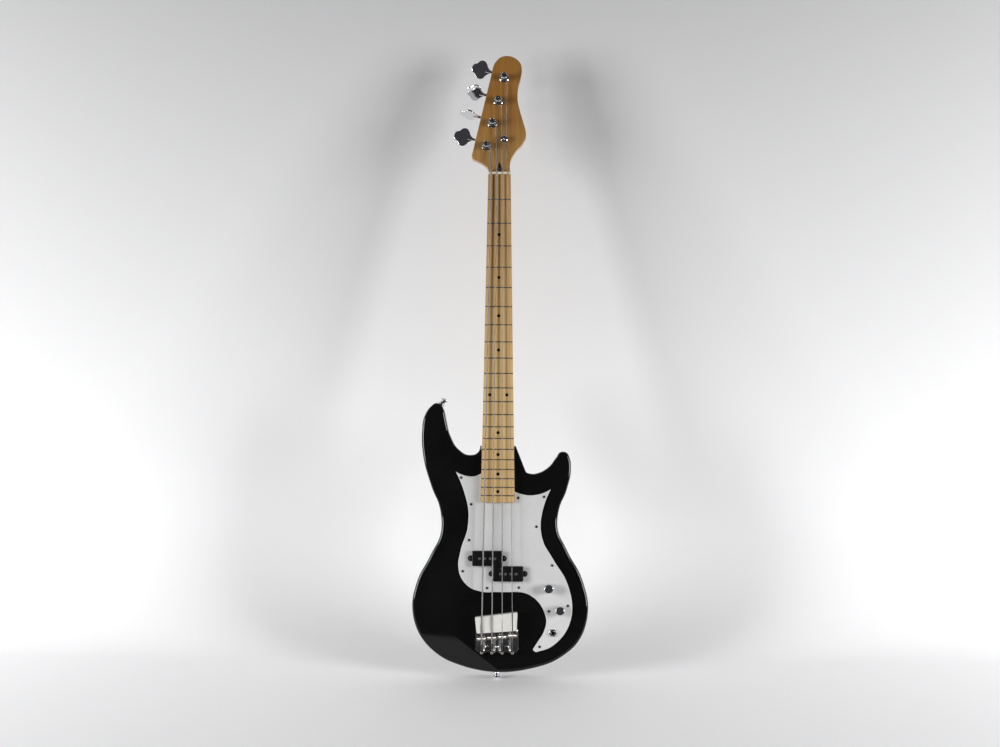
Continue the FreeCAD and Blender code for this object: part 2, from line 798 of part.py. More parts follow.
def cut_cutaway_step(body):
    """Lower the treble side of the heel by a step with a round end, for the hand at the last frets."""
    x, y = CUTAWAY_STEP_CENTRE
    reach = dim.cutaway_step_radius
    top = dim.pocket_mouth + 20
    left, right = Vector(x - reach, y, 0), Vector(x + reach, y, 0)
    step = sketch_on(body, "cutaway_step", "Sizes.body_thickness / 2")
    step.addGeometry(Part.Arc(left, Vector(x, y - reach, 0), right), False)
    corners = [right, Vector(x + reach, top, 0), Vector(x - reach, top, 0), left]
    for first, last in zip(corners, corners[1:]):
        step.addGeometry(Part.LineSegment(first, last), False)
    pocket(body, step, "Sizes.cutaway_step_depth")


def round_heel_side(body, height):
    """Round the straight side of the heel on the floor of the cutaway's step."""
    side = Part.makeLine(
        Vector(*BODY_OUTLINE[-1], height), Vector(HEEL_CORNERS_X[1], dim.pocket_mouth, height)
    )
    names = []
    for number, edge in enumerate(body.Tip.Shape.Edges, start=1):
        middle = edge.valueAt((edge.FirstParameter + edge.LastParameter) / 2)
        if side.distToShape(Part.Vertex(middle))[0] < 1e-3 and edge.Length > 1:
            names.append(f"Edge{number}")
    base = body.Tip
    rounding = body.newObject("PartDesign::Fillet", "heel_side_rounding")
    rounding.Base = (base, names)
    rounding.setExpression("Radius", "Sizes.heel_side_radius")
    doc.recompute()


def drill_body(body):
    top = "Sizes.body_thickness / 2"
    gap = dim.screw_clearance
    hole_pocket(
        body, "pickguard_screw_holes", top, PICKGUARD_SCREWS,
        "Sizes.pickguard_screw_radius + Sizes.screw_clearance",
        dim.pickguard_screw_radius + gap, "Sizes.pickguard_screw_length",
    )
    hole_pocket(
        body, "bridge_screw_holes", top, BRIDGE_SCREWS,
        "Sizes.bridge_screw_radius + Sizes.screw_clearance",
        dim.bridge_screw_radius + gap, "Sizes.bridge_screw_length",
    )
    ears = pickup_ears(BASS_PICKUP_AT) + pickup_ears(TREBLE_PICKUP_AT)
    hole_pocket(
        body, "pickup_screw_holes", top, ears,
        "Sizes.pickup_screw_radius + Sizes.screw_clearance",
        dim.pickup_screw_radius + gap, "Sizes.pickup_cavity_depth + 10",
    )
    hole_pocket(
        body, "neck_screw_holes", top, neck_screw_places(),
        "Sizes.neck_screw_radius + Sizes.screw_clearance",
        dim.neck_screw_radius + gap, "Sizes.body_thickness",
    )
    for name, base, axis in strap_places():
        hole = body.newObject("PartDesign::SubtractiveCylinder", f"{name}_strap_hole")
        hole.setExpression("Radius", "Sizes.strap_screw_radius + Sizes.screw_clearance")
        hole.setExpression("Height", "Sizes.strap_screw_length + 1")
        hole.Placement = Placement(base + axis * 0.5, Rotation(Vector(0, 0, 1), axis * -1))
        doc.recompute()


def strap_places():
    """Name, seat and outward direction of the two strap buttons, square to the body's outline."""
    places = []
    for name, point in (("end", END_BUTTON_POINT), ("horn", HORN_BUTTON_POINT)):
        index = BODY_OUTLINE.index(point)
        before, seat, after = [Vector(*p, 0) for p in BODY_OUTLINE[index - 1:index + 2]]
        step, following = seat - before, after - seat
        along = step * (1 / step.dot(step)) + following * (1 / following.dot(following))
        places.append((name, seat, Vector(along.y, -along.x, 0).normalize()))
    return places


def make_pickguard():
    body = design_body("pickguard")
    outline = sketch_on(body, "pickguard_outline", "Sizes.body_thickness / 2")
    half_end = board_width(board_end) / 2 + dim.pickguard_gap
    low = board_end - dim.pickguard_gap
    treble_top = PICKGUARD_TOP_TREBLE[-1][1]
    bass_top = PICKGUARD_TOP_BASS[0][1]
    treble_x = board_width(treble_top) / 2 + dim.pickguard_gap
    bass_x = -board_width(bass_top) / 2 - dim.pickguard_gap
    top_treble = PICKGUARD_TOP_TREBLE[:-1] + [(treble_x, treble_top)]
    top_bass = [(bass_x, bass_top)] + PICKGUARD_TOP_BASS[1:]
    stretches = [
        top_bass, PICKGUARD_BASS_SIDE, PICKGUARD_BRIDGE_SIDE, PICKGUARD_TAIL,
        PICKGUARD_TREBLE_SIDE, top_treble,
    ]
    for stretch in stretches:
        add_curve(outline, stretch)
    notch = [Vector(*p, 0) for p in (top_treble[-1], (half_end, low), (-half_end, low), top_bass[0])]
    for curve in bent_curves(notch, notch_radius()):
        outline.addGeometry(curve, False)
    pad(body, outline, "Sizes.pickguard_thickness")
    bevel_pickguard(body)
    cut_pickguard(body)


def notch_radius():
    """Corner radius of the pickguard's notch for the neck."""
    return dim.heel_corner_radius + dim.pickguard_gap


def bevel_pickguard(body):
    """Bevel the curved rim, but not the notch for the neck."""
    names = []
    for number, edge in enumerate(body.Tip.Shape.Edges, start=1):
        on_top = abs(edge.CenterOfMass.z - guard_top) < 1e-6
        curved = edge.Curve.TypeId == "Part::GeomCircle"
        if on_top and curved and abs(edge.Curve.Radius - notch_radius()) > 1e-6:
            names.append(f"Edge{number}")
    base = body.Tip
    bevel = body.newObject("PartDesign::Chamfer", "pickguard_bevel")
    bevel.Base = (base, names)
    bevel.setExpression("Size", "Sizes.pickguard_bevel")
    doc.recompute()


def cut_pickguard(body):
    top = "Sizes.body_thickness / 2 + Sizes.pickguard_thickness"
    depth = "Sizes.pickguard_thickness"
    gap = dim.pickguard_gap
    for name, centre in (("bass", BASS_PICKUP_AT), ("treble", TREBLE_PICKUP_AT)):
        window = sketch_on(body, f"{name}_pickup_window", top)
        length = dim.pickup_length + 2 * gap
        width = dim.pickup_width + 2 * gap
        for edge in rounded_rectangle(centre, length, width, dim.pickup_corner_radius):
            window.addGeometry(edge, False)
        pocket(body, window, depth)
        for number, ear in enumerate(pickup_ears(centre), start=1):
            ear_window = sketch_on(body, f"{name}_ear_window_{number}", top)
            add_circle(
                ear_window, ear, "Sizes.pickup_ear_radius + Sizes.pickguard_gap",
                dim.pickup_ear_radius + gap,
            )
            pocket(body, ear_window, depth)
    clearance = dim.screw_clearance
    hole_pocket(
        body, "pot_holes", top, [VOLUME_AT, TONE_AT],
        "Sizes.pot_bushing_radius + Sizes.screw_clearance",
        dim.pot_bushing_radius + clearance, depth,
    )
    hole_pocket(
        body, "jack_hole", top, [JACK_AT],
        "Sizes.jack_sleeve_radius + Sizes.screw_clearance",
        dim.jack_sleeve_radius + clearance, depth,
    )
    hole_pocket(
        body, "screw_holes", top, PICKGUARD_SCREWS,
        "Sizes.pickguard_screw_radius + Sizes.screw_clearance",
        dim.pickguard_screw_radius + clearance, depth,
    )


def shaft_section(y, width, depth):
    """Rounded back of the neck below a flat top."""
    centre = Vector(0, y, glue)
    ellipse = Part.Ellipse(centre + Vector(width / 2, 0, 0), centre - Vector(0, 0, depth), centre)
    under = Part.ArcOfEllipse(ellipse, 0, pi).toShape()
    top = Part.makeLine(centre - Vector(width / 2, 0, 0), centre + Vector(width / 2, 0, 0))
    return Part.Wire([under, top])


def head_curve(points):
    """Edges of a curved stretch of the headstock's outline, at the height of its back."""
    return edges_of(arc_chain([Vector(x, nut_y + u, head_back) for x, u in points]))


def headstock():
    """Headstock outline cut by its side profile, with the step behind the nut and the cove."""
    corner = Vector(HEAD_BASS_CORNER[-1][0], nut_y + HEAD_BASS_CORNER[-1][1], head_back)
    top = Vector(HEAD_TIP[0][0], nut_y + HEAD_TIP[0][1], head_back)
    foot_y = nut_y - dim.head_cove_radius
    half = board_width(foot_y) / 2
    low_bass = Vector(-half, foot_y, head_back)
    low_treble = Vector(half, foot_y, head_back)
    start = Vector(HEAD_BASS_FOOT[0][0], nut_y + HEAD_BASS_FOOT[0][1], head_back)
    end = Vector(HEAD_TIP[-1][0], nut_y + HEAD_TIP[-1][1], head_back)
    outline = Part.Wire(
        [Part.makeLine(low_bass, start)]
        + head_curve(HEAD_BASS_FOOT)
        + head_curve(HEAD_BASS_CORNER)
        + [Part.makeLine(corner, top)]
        + head_curve(HEAD_TIP)
        + [Part.makeLine(end, low_treble), Part.makeLine(low_treble, low_bass)]
    )
    block = Part.Face(outline).extrude(Vector(0, 0, crown - head_back))
    shelf = nut_back + dim.head_shelf
    shelf_top = crown - 1.0
    ramp_end = shelf + dim.head_ramp_length
    far = nut_y + 260
    cove = dim.head_cove_radius
    bend = cove * sqrt(0.5)

    def at(y, z):
        return Vector(-90, y, z)

    ramp_middle = at(shelf + dim.head_ramp_length * 0.4, head_face + (shelf_top - head_face) * 0.27)
    edges = [
        Part.Arc(at(nut_y - cove, head_back + cove), at(nut_y - cove + bend, head_back + bend),
                 at(nut_y, head_back)).toShape(),
        Part.makeLine(at(nut_y, head_back), at(far, head_back)),
        Part.makeLine(at(far, head_back), at(far, head_face)),
        Part.makeLine(at(far, head_face), at(ramp_end, head_face)),
        Part.Arc(at(ramp_end, head_face), ramp_middle, at(shelf, shelf_top)).toShape(),
        Part.makeLine(at(shelf, shelf_top), at(nut_back, shelf_top)),
        Part.makeLine(at(nut_back, shelf_top), at(nut_back, glue)),
        Part.makeLine(at(nut_back, glue), at(nut_y - cove, glue)),
        Part.makeLine(at(nut_y - cove, glue), at(nut_y - cove, head_back + cove)),
    ]
    profile = Part.Face(Part.Wire(edges)).extrude(Vector(180, 0, 0))
    return block.common(profile)


def round_head_edges(head):
    """Small rounding along the rim of the headstock's front and back."""
    ramp_end = nut_back + dim.head_shelf + dim.head_ramp_length
    rim = []
    for edge in head.Edges:
        place = edge.CenterOfMass
        in_front = abs(place.z - head_face) < 1e-6 and place.y > ramp_end + 0.5
        behind = abs(place.z - head_back) < 1e-6 and place.y > nut_y + 0.5
        if in_front or behind:
            rim.append(edge)
    return head.makeFillet(dim.head_edge_radius, rim)


def heel_block():
    cove = dim.heel_cove_radius
    end = dim.pocket_mouth + cove + 2
    bottom = glue - dim.heel_thickness
    block = heel_prism(end, bottom, glue)
    hollow = drilled(cove, Vector(-60, end, bottom), Vector(1, 0, 0), 120)
    return block.cut(hollow)


def truss_slot():
    """Pointed slot in the headstock that the rod's nut is turned in."""
    half = dim.truss_slot_width / 2
    start = nut_back
    shoulder = start + dim.truss_slot_length * 0.5
    tip = start + dim.truss_slot_length
    points = [
        (-half, start), (half, start), (half, shoulder), (half * 0.55, shoulder + (tip - shoulder) * 0.6),
        (0, tip), (-half * 0.55, shoulder + (tip - shoulder) * 0.6), (-half, shoulder),
    ]
    return prism(points, rod_z - half, crown + 1)


def make_neck():
    shaft_start = dim.pocket_mouth + 4
    sections = [
        shaft_section(shaft_start, board_width(shaft_start), dim.shaft_depth_at_heel),
        shaft_section(nut_back, board_width(nut_back), dim.shaft_depth_at_nut),
    ]
    shaft = Part.makeLoft(sections, True, True)
    neck = shaft.fuse([heel_block(), round_head_edges(headstock())]).removeSplitter()
    half = dim.truss_channel_width / 2
    rod_start = board_end + dim.truss_rod_start
    channel = prism(
        [(-half, rod_start), (half, rod_start), (half, nut_back + 1), (-half, nut_back + 1)],
        rod_z - half, glue + 1,
    )
    cuts = [channel, truss_slot()]
    for name in STRING_NAMES:
        radius = dim.bushing_radius + dim.screw_clearance
        base = tuner_point(name, 0, 0, -1)
        cuts.append(drilled(radius, base, Vector(0, 0, 1), dim.head_thickness + 2))
        for x, y in tuner_screw_places():
            base = tuner_point(name, x, y, 0)
            radius = dim.tuner_screw_radius + dim.screw_clearance
            cuts.append(drilled(radius, base, Vector(0, 0, 1), dim.tuner_screw_length))
    tree = Vector(TREE_AT[0], nut_y + TREE_AT[1], head_face)
    cuts.append(drilled(dim.tuner_screw_radius + dim.screw_clearance, tree, Vector(0, 0, -1), 10))
    for x, y in neck_screw_places():
        base = Vector(x, y, glue - dim.heel_thickness)
        radius = dim.neck_screw_radius + dim.screw_clearance
        depth = dim.neck_screw_length - dim.body_thickness + dim.neck_pocket_depth
        cuts.append(drilled(radius, base, Vector(0, 0, 1), depth))
    shape_part("neck", neck.cut(cuts))


def board_cylinder(radius):
    start = Vector(0, board_end - 20, crown - dim.board_radius)
    return drilled(radius, start, Vector(0, 1, 0), nut_y - board_end + 60)


def fret_band(y, half_width, low, high, half_span):
    """Band across the board that follows its radius, between two depths from the crown."""
    axis = Vector(0, y, crown - dim.board_radius)
    points = [
        Vector(0, y - half_width, crown + low), Vector(0, y + half_width, crown + low),
        Vector(0, y + half_width, crown + high), Vector(0, y - half_width, crown + high),
    ]
    section = Part.Face(Part.makePolygon(points + points[:1]))
    angle = degrees(asin(half_span / dim.board_radius))
    section.rotate(axis, Vector(0, 1, 0), -angle)
    return section.revolve(axis, Vector(0, 1, 0), 2 * angle)


def fret_shape(y):
    """Fret wire: domed crown with a tang in the board's slot."""
    axis = Vector(0, y, crown - dim.board_radius)
    half = dim.fret_width / 2
    tang = dim.fret_tang_width / 2
    crown_arc = Part.Arc(
        Vector(0, y - half, crown), Vector(0, y, crown + dim.fret_height), Vector(0, y + half, crown)
    ).toShape()
    line = [
        Vector(0, y + half, crown), Vector(0, y + tang, crown),
        Vector(0, y + tang, crown - dim.fret_tang_depth),
        Vector(0, y - tang, crown - dim.fret_tang_depth), Vector(0, y - tang, crown),
        Vector(0, y - half, crown),
    ]
    edges = [crown_arc] + [Part.makeLine(a, b) for a, b in zip(line, line[1:])]
    section = Part.Face(Part.Wire(edges))
    angle = degrees(asin((board_width(y) / 2 - dim.fret_inset) / dim.board_radius))
    section.rotate(axis, Vector(0, 1, 0), -angle)
    return section.revolve(axis, Vector(0, 1, 0), 2 * angle)


def dot_places():
    places = []
    for number in DOT_FRETS:
        places.append((0, (fret_y(number) + fret_y(number - 1)) / 2))
    octave = (fret_y(12) + fret_y(11)) / 2
    places.append((-dim.octave_dot_spacing / 2, octave))
    places.append((dim.octave_dot_spacing / 2, octave))
    return places


def make_fretboard():
    board = heel_prism(nut_y, glue, crown + 1).common(board_cylinder(dim.board_radius))
    slots = []
    frets = []
    for number in range(1, int(dim.fret_count) + 1):
        y = fret_y(number)
        half_slot = dim.fret_tang_width / 2 + dim.inlay_clearance
        depth = dim.fret_tang_depth + dim.inlay_clearance
        slots.append(fret_band(y, half_slot, -depth, 1.0, board_width(y) / 2 + 2))
        frets.append(fret_shape(y))
    wells = []
    dots = []
    for x, y in dot_places():
        low = Vector(x, y, crown - x * x / (2 * dim.board_radius) - dim.dot_depth)
        wells.append(drilled(dim.dot_radius + dim.inlay_clearance, low, Vector(0, 0, 1), 10))
        dot = drilled(dim.dot_radius, low, Vector(0, 0, 1), 10)
        dots.append(dot.common(board_cylinder(dim.board_radius)))
    shape_part("fretboard", board.cut(slots + wells))
    shape_part("frets", Part.makeCompound(frets))
    shape_part("position_dots", Part.makeCompound([solid for dot in dots for solid in dot.Solids]))


def make_nut():
    """String nut: curved top like the board, one round slot for each string."""
    half = board_width(nut_y) / 2
    points = [(-half, nut_y), (half, nut_y), (half, nut_back), (-half, nut_back)]
    block = prism(points, glue, crown + dim.nut_height_over_board)
    top = board_cylinder(dim.board_radius + dim.nut_height_over_board)
    slots = []
    for name in STRING_NAMES:
        x = string_x(name, dim.string_spacing_at_nut)
        radius = string_radius(name) + dim.string_clearance
        centre = Vector(x, nut_y - 1, string_bottom(x, nut_y) + string_radius(name))
        slots.append(drilled(radius, centre, Vector(0, 1, 0), dim.nut_thickness + 2))
        slot = Part.makeBox(2 * radius, dim.nut_thickness + 2, 10, centre - Vector(radius, 0, 0))
        slots.append(slot)
    shape_part("string_nut", block.common(top).cut(slots))


def make_truss_rod():
    start = board_end + dim.truss_rod_start + dim.screw_clearance
    thread_end = nut_back + 2 + dim.truss_nut_length / 2
    rod = doc.addObject("Part::Cylinder", "truss_rod")
    rod.setExpression("Radius", "Sizes.truss_rod_radius")
    rod.Height = thread_end - start
    sub_part(rod, "truss_rod")
    local = Placement(Vector(0, start, rod_z), Rotation(Vector(1, 0, 0), -90))
    rod.Placement = STAND.multiply(local)
    bore = dim.truss_rod_radius + dim.screw_clearance
    low = nut_back + 1.5
    middle = low + dim.truss_nut_length * 0.6
    end = low + dim.truss_nut_length
    radius = dim.truss_nut_radius
    profile = [
        (bore, 0), (radius, 0), (radius, end - low - 0.6), (radius - 0.6, end - low), (0, end - low),
        (0, middle - low), (bore, middle - low),
    ]
    nut = turned(profile, Vector(0, low, rod_z), Vector(0, 1, 0))
    key = hexagon((0, 0), dim.truss_nut_socket, 0, 5)
    key.Placement = Placement(Vector(0, end - 3, rod_z), Rotation(Vector(0, 0, 1), Vector(0, 1, 0)))
    shape_part("truss_rod_nut", nut.cut(key))


def make_neck_plate():
    body = design_body("neck_plate")
    outline = sketch_on(body, "neck_plate_outline", "-Sizes.body_thickness / 2 - Sizes.neck_plate_thickness")
    centre = (0, (board_end + dim.pocket_mouth) / 2)
    for edge in rounded_rectangle(centre, dim.neck_plate_width, dim.neck_plate_length, 3):
        outline.addGeometry(edge, False)
    pad(body, outline, "Sizes.neck_plate_thickness")
    hole_pocket(
        body, "neck_plate_holes", "-Sizes.body_thickness / 2", neck_screw_places(),
        "Sizes.neck_screw_radius + Sizes.screw_clearance",
        dim.neck_screw_radius + dim.screw_clearance, "Sizes.neck_plate_thickness",
    )
    low = back - dim.neck_plate_thickness
    screws = []
    for x, y in neck_screw_places():
        base = Vector(x, y, low)
        screws.append(pan_screw(dim.neck_screw_radius, dim.neck_screw_length, base, Vector(0, 0, 1)))
    shape_part("neck_screws", Part.makeCompound(screws))


def make_pickguard_screws():
    length = dim.pickguard_screw_length
    screws = []
    for x, y in PICKGUARD_SCREWS:
        base = Vector(x, y, guard_top)
        screws.append(pan_screw(dim.pickguard_screw_radius, length, base, Vector(0, 0, -1)))
    shape_part("pickguard_screws", Part.makeCompound(screws))


def flat_block(centre, length, width, radius, low, high):
    edges = [curve.toShape() for curve in rounded_rectangle(centre, length, width, radius)]
    block = Part.Face(Part.Wire(edges)).extrude(Vector(0, 0, high - low))
    block.translate(Vector(0, 0, low))
    return block


def pickup_poles_at(centre):
    x, y = centre
    return [(x + (k - 1.5) * dim.pole_spacing, y) for k in range(4)]


def make_pickups():
    covers, coils, poles, screws = [], [], [], []
    top = guard_top + dim.pickup_rise
    low = face - dim.pickup_sink
    ear_top = guard_top + dim.pickup_ear_rise
    wall = dim.pickup_wall
    for centre in (BASS_PICKUP_AT, TREBLE_PICKUP_AT):
        cover = flat_block(
            centre, dim.pickup_length, dim.pickup_width, dim.pickup_corner_radius, low, top
        )
        rim = [edge for edge in cover.Edges if edge.BoundBox.ZMin > top - 1e-6]
        cover = cover.makeFillet(dim.pickup_edge_radius, rim)
        inside_length = dim.pickup_length - 2 * wall
        inside_width = dim.pickup_width - 2 * wall
        inside = flat_block(centre, inside_length, inside_width, 1.5, low - 1, top - wall)
        for ear in pickup_ears(centre):
            base = Vector(*ear, ear_top - dim.pickup_ear_thickness)
            cover = cover.fuse(
                drilled(dim.pickup_ear_radius, base, Vector(0, 0, 1), dim.pickup_ear_thickness)
            )
        cuts = [inside]
        coil_top = top - wall
        coil_low = coil_top - dim.coil_height
        coil = flat_block(centre, inside_length - 4, inside_width - 8, 7, coil_low, coil_top)
        for place in pickup_poles_at(centre):
            radius = dim.pole_radius + dim.screw_clearance
            base = Vector(*place, coil_low - 1)
            length = top - coil_low + 2
            cuts.append(drilled(radius, base, Vector(0, 0, 1), length))
            coil = coil.cut(drilled(radius, base, Vector(0, 0, 1), length))
            pole_length = top + dim.pole_rise - coil_low
            base = Vector(*place, coil_low)
            poles.append(drilled(dim.pole_radius, base, Vector(0, 0, 1), pole_length))
        for ear in pickup_ears(centre):
            radius = dim.pickup_screw_radius + dim.screw_clearance
            base = Vector(*ear, low - 5)
            cuts.append(drilled(radius, base, Vector(0, 0, 1), ear_top - low + 10))
            length = ear_top - face + dim.pickup_cavity_depth + 8
            base = Vector(*ear, ear_top)
            screws.append(pan_screw(dim.pickup_screw_radius, length, base, Vector(0, 0, -1)))
        covers.append(cover.removeSplitter().cut(cuts))
        coils.append(coil)
    shape_part("pickup_covers", Part.makeCompound([s for cover in covers for s in cover.Solids]))
    shape_part("pickup_coils", Part.makeCompound([s for coil in coils for s in coil.Solids]))
    shape_part("pickup_poles", Part.makeCompound(poles))
    shape_part("pickup_screws", Part.makeCompound(screws))


def make_bridge_plate():
    """Bent plate: flat base on the body and an upright lip that holds strings and screws."""
    body = design_body("bridge_plate")
    base = sketch_on(body, "bridge_base", "Sizes.body_thickness / 2")
    length = dim.bridge_front - dim.bridge_rear
    centre = (0, (dim.bridge_front + dim.bridge_rear) / 2)
    for edge in rounded_rectangle(centre, dim.bridge_width, length, 3):
        base.addGeometry(edge, False)
    pad(body, base, "Sizes.bridge_plate_thickness")
    lip = sketch_on(body, "bridge_lip", "Sizes.body_thickness / 2")
    half = dim.bridge_width / 2 - 3
    low = dim.bridge_rear
    high = dim.bridge_rear + dim.bridge_lip_thickness
    add_lines(lip, [(-half, low), (half, low), (half, high), (-half, high)])
    pad(body, lip, "Sizes.bridge_lip_height")
    hole_pocket(
        body, "bridge_plate_holes", "Sizes.body_thickness / 2 + Sizes.bridge_plate_thickness",
        BRIDGE_SCREWS, "Sizes.bridge_screw_radius + Sizes.screw_clearance",
        dim.bridge_screw_radius + dim.screw_clearance, "Sizes.bridge_plate_thickness",
    )
    for name in STRING_NAMES:
        screw_radius = "Sizes.intonation_screw_radius + Sizes.screw_thread_clearance"
        lip_hole(body, f"screw_hole_{name}", screw_x(name), saddle_z(name), screw_radius)
        x = string_x(name, dim.string_spacing_at_bridge)
        radius = f"Sizes.string_radius_{name} + Sizes.string_clearance"
        lip_hole(body, f"string_hole_{name}", x, lip_string_z(), radius)
    screws = []
    for x, y in BRIDGE_SCREWS:
        base = Vector(x, y, plate_top)
        length = dim.bridge_screw_length
        screws.append(pan_screw(dim.bridge_screw_radius, length, base, Vector(0, 0, -1)))
    shape_part("bridge_screws", Part.makeCompound(screws))


def lip_string_z():
    return plate_top + dim.ball_end_radius + 1.2


def lip_hole(body, name, x, z, radius_expression):
    hole = body.newObject("PartDesign::SubtractiveCylinder", name)
    hole.setExpression("Radius", radius_expression)
    hole.setExpression("Height", "Sizes.bridge_lip_thickness + 4")
    hole.Placement = Placement(Vector(x, dim.bridge_rear - 2, z), Rotation(Vector(1, 0, 0), -90))
    doc.recompute()


def make_saddles():
    """Four barrels, each with two height screws, an intonation screw and its spring."""
    lip_front = dim.bridge_rear + dim.bridge_lip_thickness
    for name in STRING_NAMES:
        x = string_x(name, dim.string_spacing_at_bridge)
        y, z = saddle_y(name), saddle_z(name)
        half = dim.saddle_length / 2
        barrel = turned(
            [
                (0, -half), (dim.saddle_radius - 0.5, -half), (dim.saddle_radius, 0.5 - half),
                (dim.saddle_radius, half - 0.5), (dim.saddle_radius - 0.5, half), (0, half),
            ],
            Vector(x, y, z), Vector(1, 0, 0),
        )
        groove_radius = string_radius(name) + dim.string_clearance
        line = string_line(name)
        cuts = [drilled(groove_radius, line.start - line.way * 40, line.way, 80)]
        thread = dim.intonation_screw_radius + dim.screw_thread_clearance
        cuts.append(drilled(thread, Vector(screw_x(name), y - 10, z), Vector(0, 1, 0), 20))
        grubs = []
        for side in (-1, 1):
            radius = dim.height_screw_radius
            top = Vector(x + side * dim.height_screw_offset, y, z + dim.saddle_radius - 0.4)
            length = top.z - plate_top
            grubs.append(drilled(radius, top, Vector(0, 0, -1), length))
            cuts.append(drilled(radius + dim.screw_thread_clearance, top + Vector(0, 0, 2),
                                Vector(0, 0, -1), 20))
        shape_part(f"saddle_{name}", barrel.cut(cuts))
        shape_part(f"height_screws_{name}", Part.makeCompound(grubs))
        head_base = Vector(screw_x(name), dim.bridge_rear, z)
        length = y + dim.saddle_radius + 1.5 - dim.bridge_rear
        shape_part(
            f"intonation_screw_{name}",
            pan_screw(dim.intonation_screw_radius, length, head_base, Vector(0, 1, 0)),
        )
        spring_end = y - dim.saddle_radius - 0.2
        make_spring(name, screw_x(name), lip_front + 0.2, spring_end, z)


def make_spring(name, x, start, end, z):
    """Compression spring on the intonation screw, wound along y."""
    wire = dim.spring_wire_radius
    turns = int(dim.spring_turns)
    low = start + wire
    climb = (end - wire - low) / turns
    radius = dim.spring_coil_radius
    edges, _, _ = wound_edges(Vector(0, 0, 0), radius, 0, climb, 0, turns)
    spring = tube(edges, wire)
    print(f"spring {name} least gap to itself {least_gap(edges, wire, radius):.2f} mm")
    spring.Placement = Placement(Vector(x, low, z), Rotation(Vector(1, 0, 0), -90))
    shape_part(f"intonation_spring_{name}", spring)


def string_line(name):
    """Straight stretch of a string between its saddle and the nut."""
    bridge_x = string_x(name, dim.string_spacing_at_bridge)
    nut_x = string_x(name, dim.string_spacing_at_nut)
    radius = string_radius(name)
    start = Vector(bridge_x, saddle_y(name), string_bottom(bridge_x, saddle_y(name)) + radius)
    end = Vector(nut_x, nut_y, string_bottom(nut_x, nut_y) + radius)
    return SimpleNamespace(start=start, end=end, way=(end - start).normalize())


def make_strings():
    """Each string is one tube: ball end, saddle, nut, string tree and the turns on its post."""
    for name in STRING_NAMES:
        radius = string_radius(name)
        line = string_line(name)
        hole = Vector(line.start.x, dim.bridge_rear - 1.0, lip_string_z())
        lip_front = hole + Vector(0, dim.bridge_lip_thickness + 2.0, 0)
        break_point = line.start - line.way * (dim.saddle_radius + 5.0)
        past_nut = line.end + line.way * dim.nut_thickness
        reach = dim.post_radius + radius + dim.string_clearance
        post, _ = tuner_axes(name)
        wrap_low = head_face + dim.bushing_flange_thickness + radius + 0.8
        centre = Vector(post.x, post.y, 0)
        pitch = 2 * radius + dim.winding_gap
        points = [hole, lip_front, break_point, past_nut]
        if name in ("d", "g"):
            side = -1 if name == "d" else 1
            tree_x = TREE_AT[0] + side * (dim.tree_spacer_radius + radius + dim.tree_string_gap)
            tree_z = head_face + dim.tree_rise - radius - dim.tree_string_gap
            points.append(Vector(tree_x, nut_y + TREE_AT[1], tree_z))
        angle = 0.12
        land, land_way = helix_point(centre, reach, angle, pitch, wrap_low)
        approach = points[-1] + (land - points[-1]) * 0.9
        points.append(approach)
        edges = bent_run(points, dim.string_bend_radius)
        direction = (points[-1] - points[-2]).normalize()
        edges += edges_of(biarc(approach, direction, land, land_way))
        winding, last, last_way = wound_edges(
            centre, reach, angle, pitch, wrap_low, WINDING_TURNS[name]
        )
        edges += winding
        edges.append(Part.makeLine(last, last + last_way * (2 * radius)))
        print(f"string {name} least gap to itself {least_gap(winding, radius, reach):.2f} mm")
        string = tube(edges, radius)
        ball = drilled(
            dim.ball_end_radius, hole - Vector(0, dim.ball_end_length, 0), Vector(0, 1, 0),
            dim.ball_end_length + 1.0 - 0.05,
        )
        shape_part(f"string_{name}", string.fuse(ball).removeSplitter())


def make_mute():
    """Foam block under the strings in front of the saddles, with a channel for each string."""
    top = string_bottom(0, dim.bridge_front) + dim.mute_rise
    block = prism(MUTE_CORNERS, face, top)
    gap = dim.string_clearance
    plate = Part.makeBox(
        dim.bridge_width + 2 * gap, dim.bridge_front - dim.bridge_rear + gap,
        dim.bridge_plate_thickness,
        Vector(-dim.bridge_width / 2 - gap, dim.bridge_rear, face),
    )
    cuts = [plate]
    for x, y in BRIDGE_SCREWS:
        head = 2.2 * dim.bridge_screw_radius
        cuts.append(drilled(head, Vector(x, y, face), Vector(0, 0, 1), 6))
    for name in STRING_NAMES:
        line = string_line(name)
        radius = string_radius(name) + gap
        cuts.append(drilled(radius, line.start, line.way, 80))
        slot = Part.makeBox(2 * radius, 80, 20, line.start - Vector(radius, 0, 0))
        slot.rotate(line.start, Vector(0, 0, 1), -degrees(atan2(line.way.x, line.way.y)))
        cuts.append(slot)
    shape_part("string_mute", block.cut(cuts))


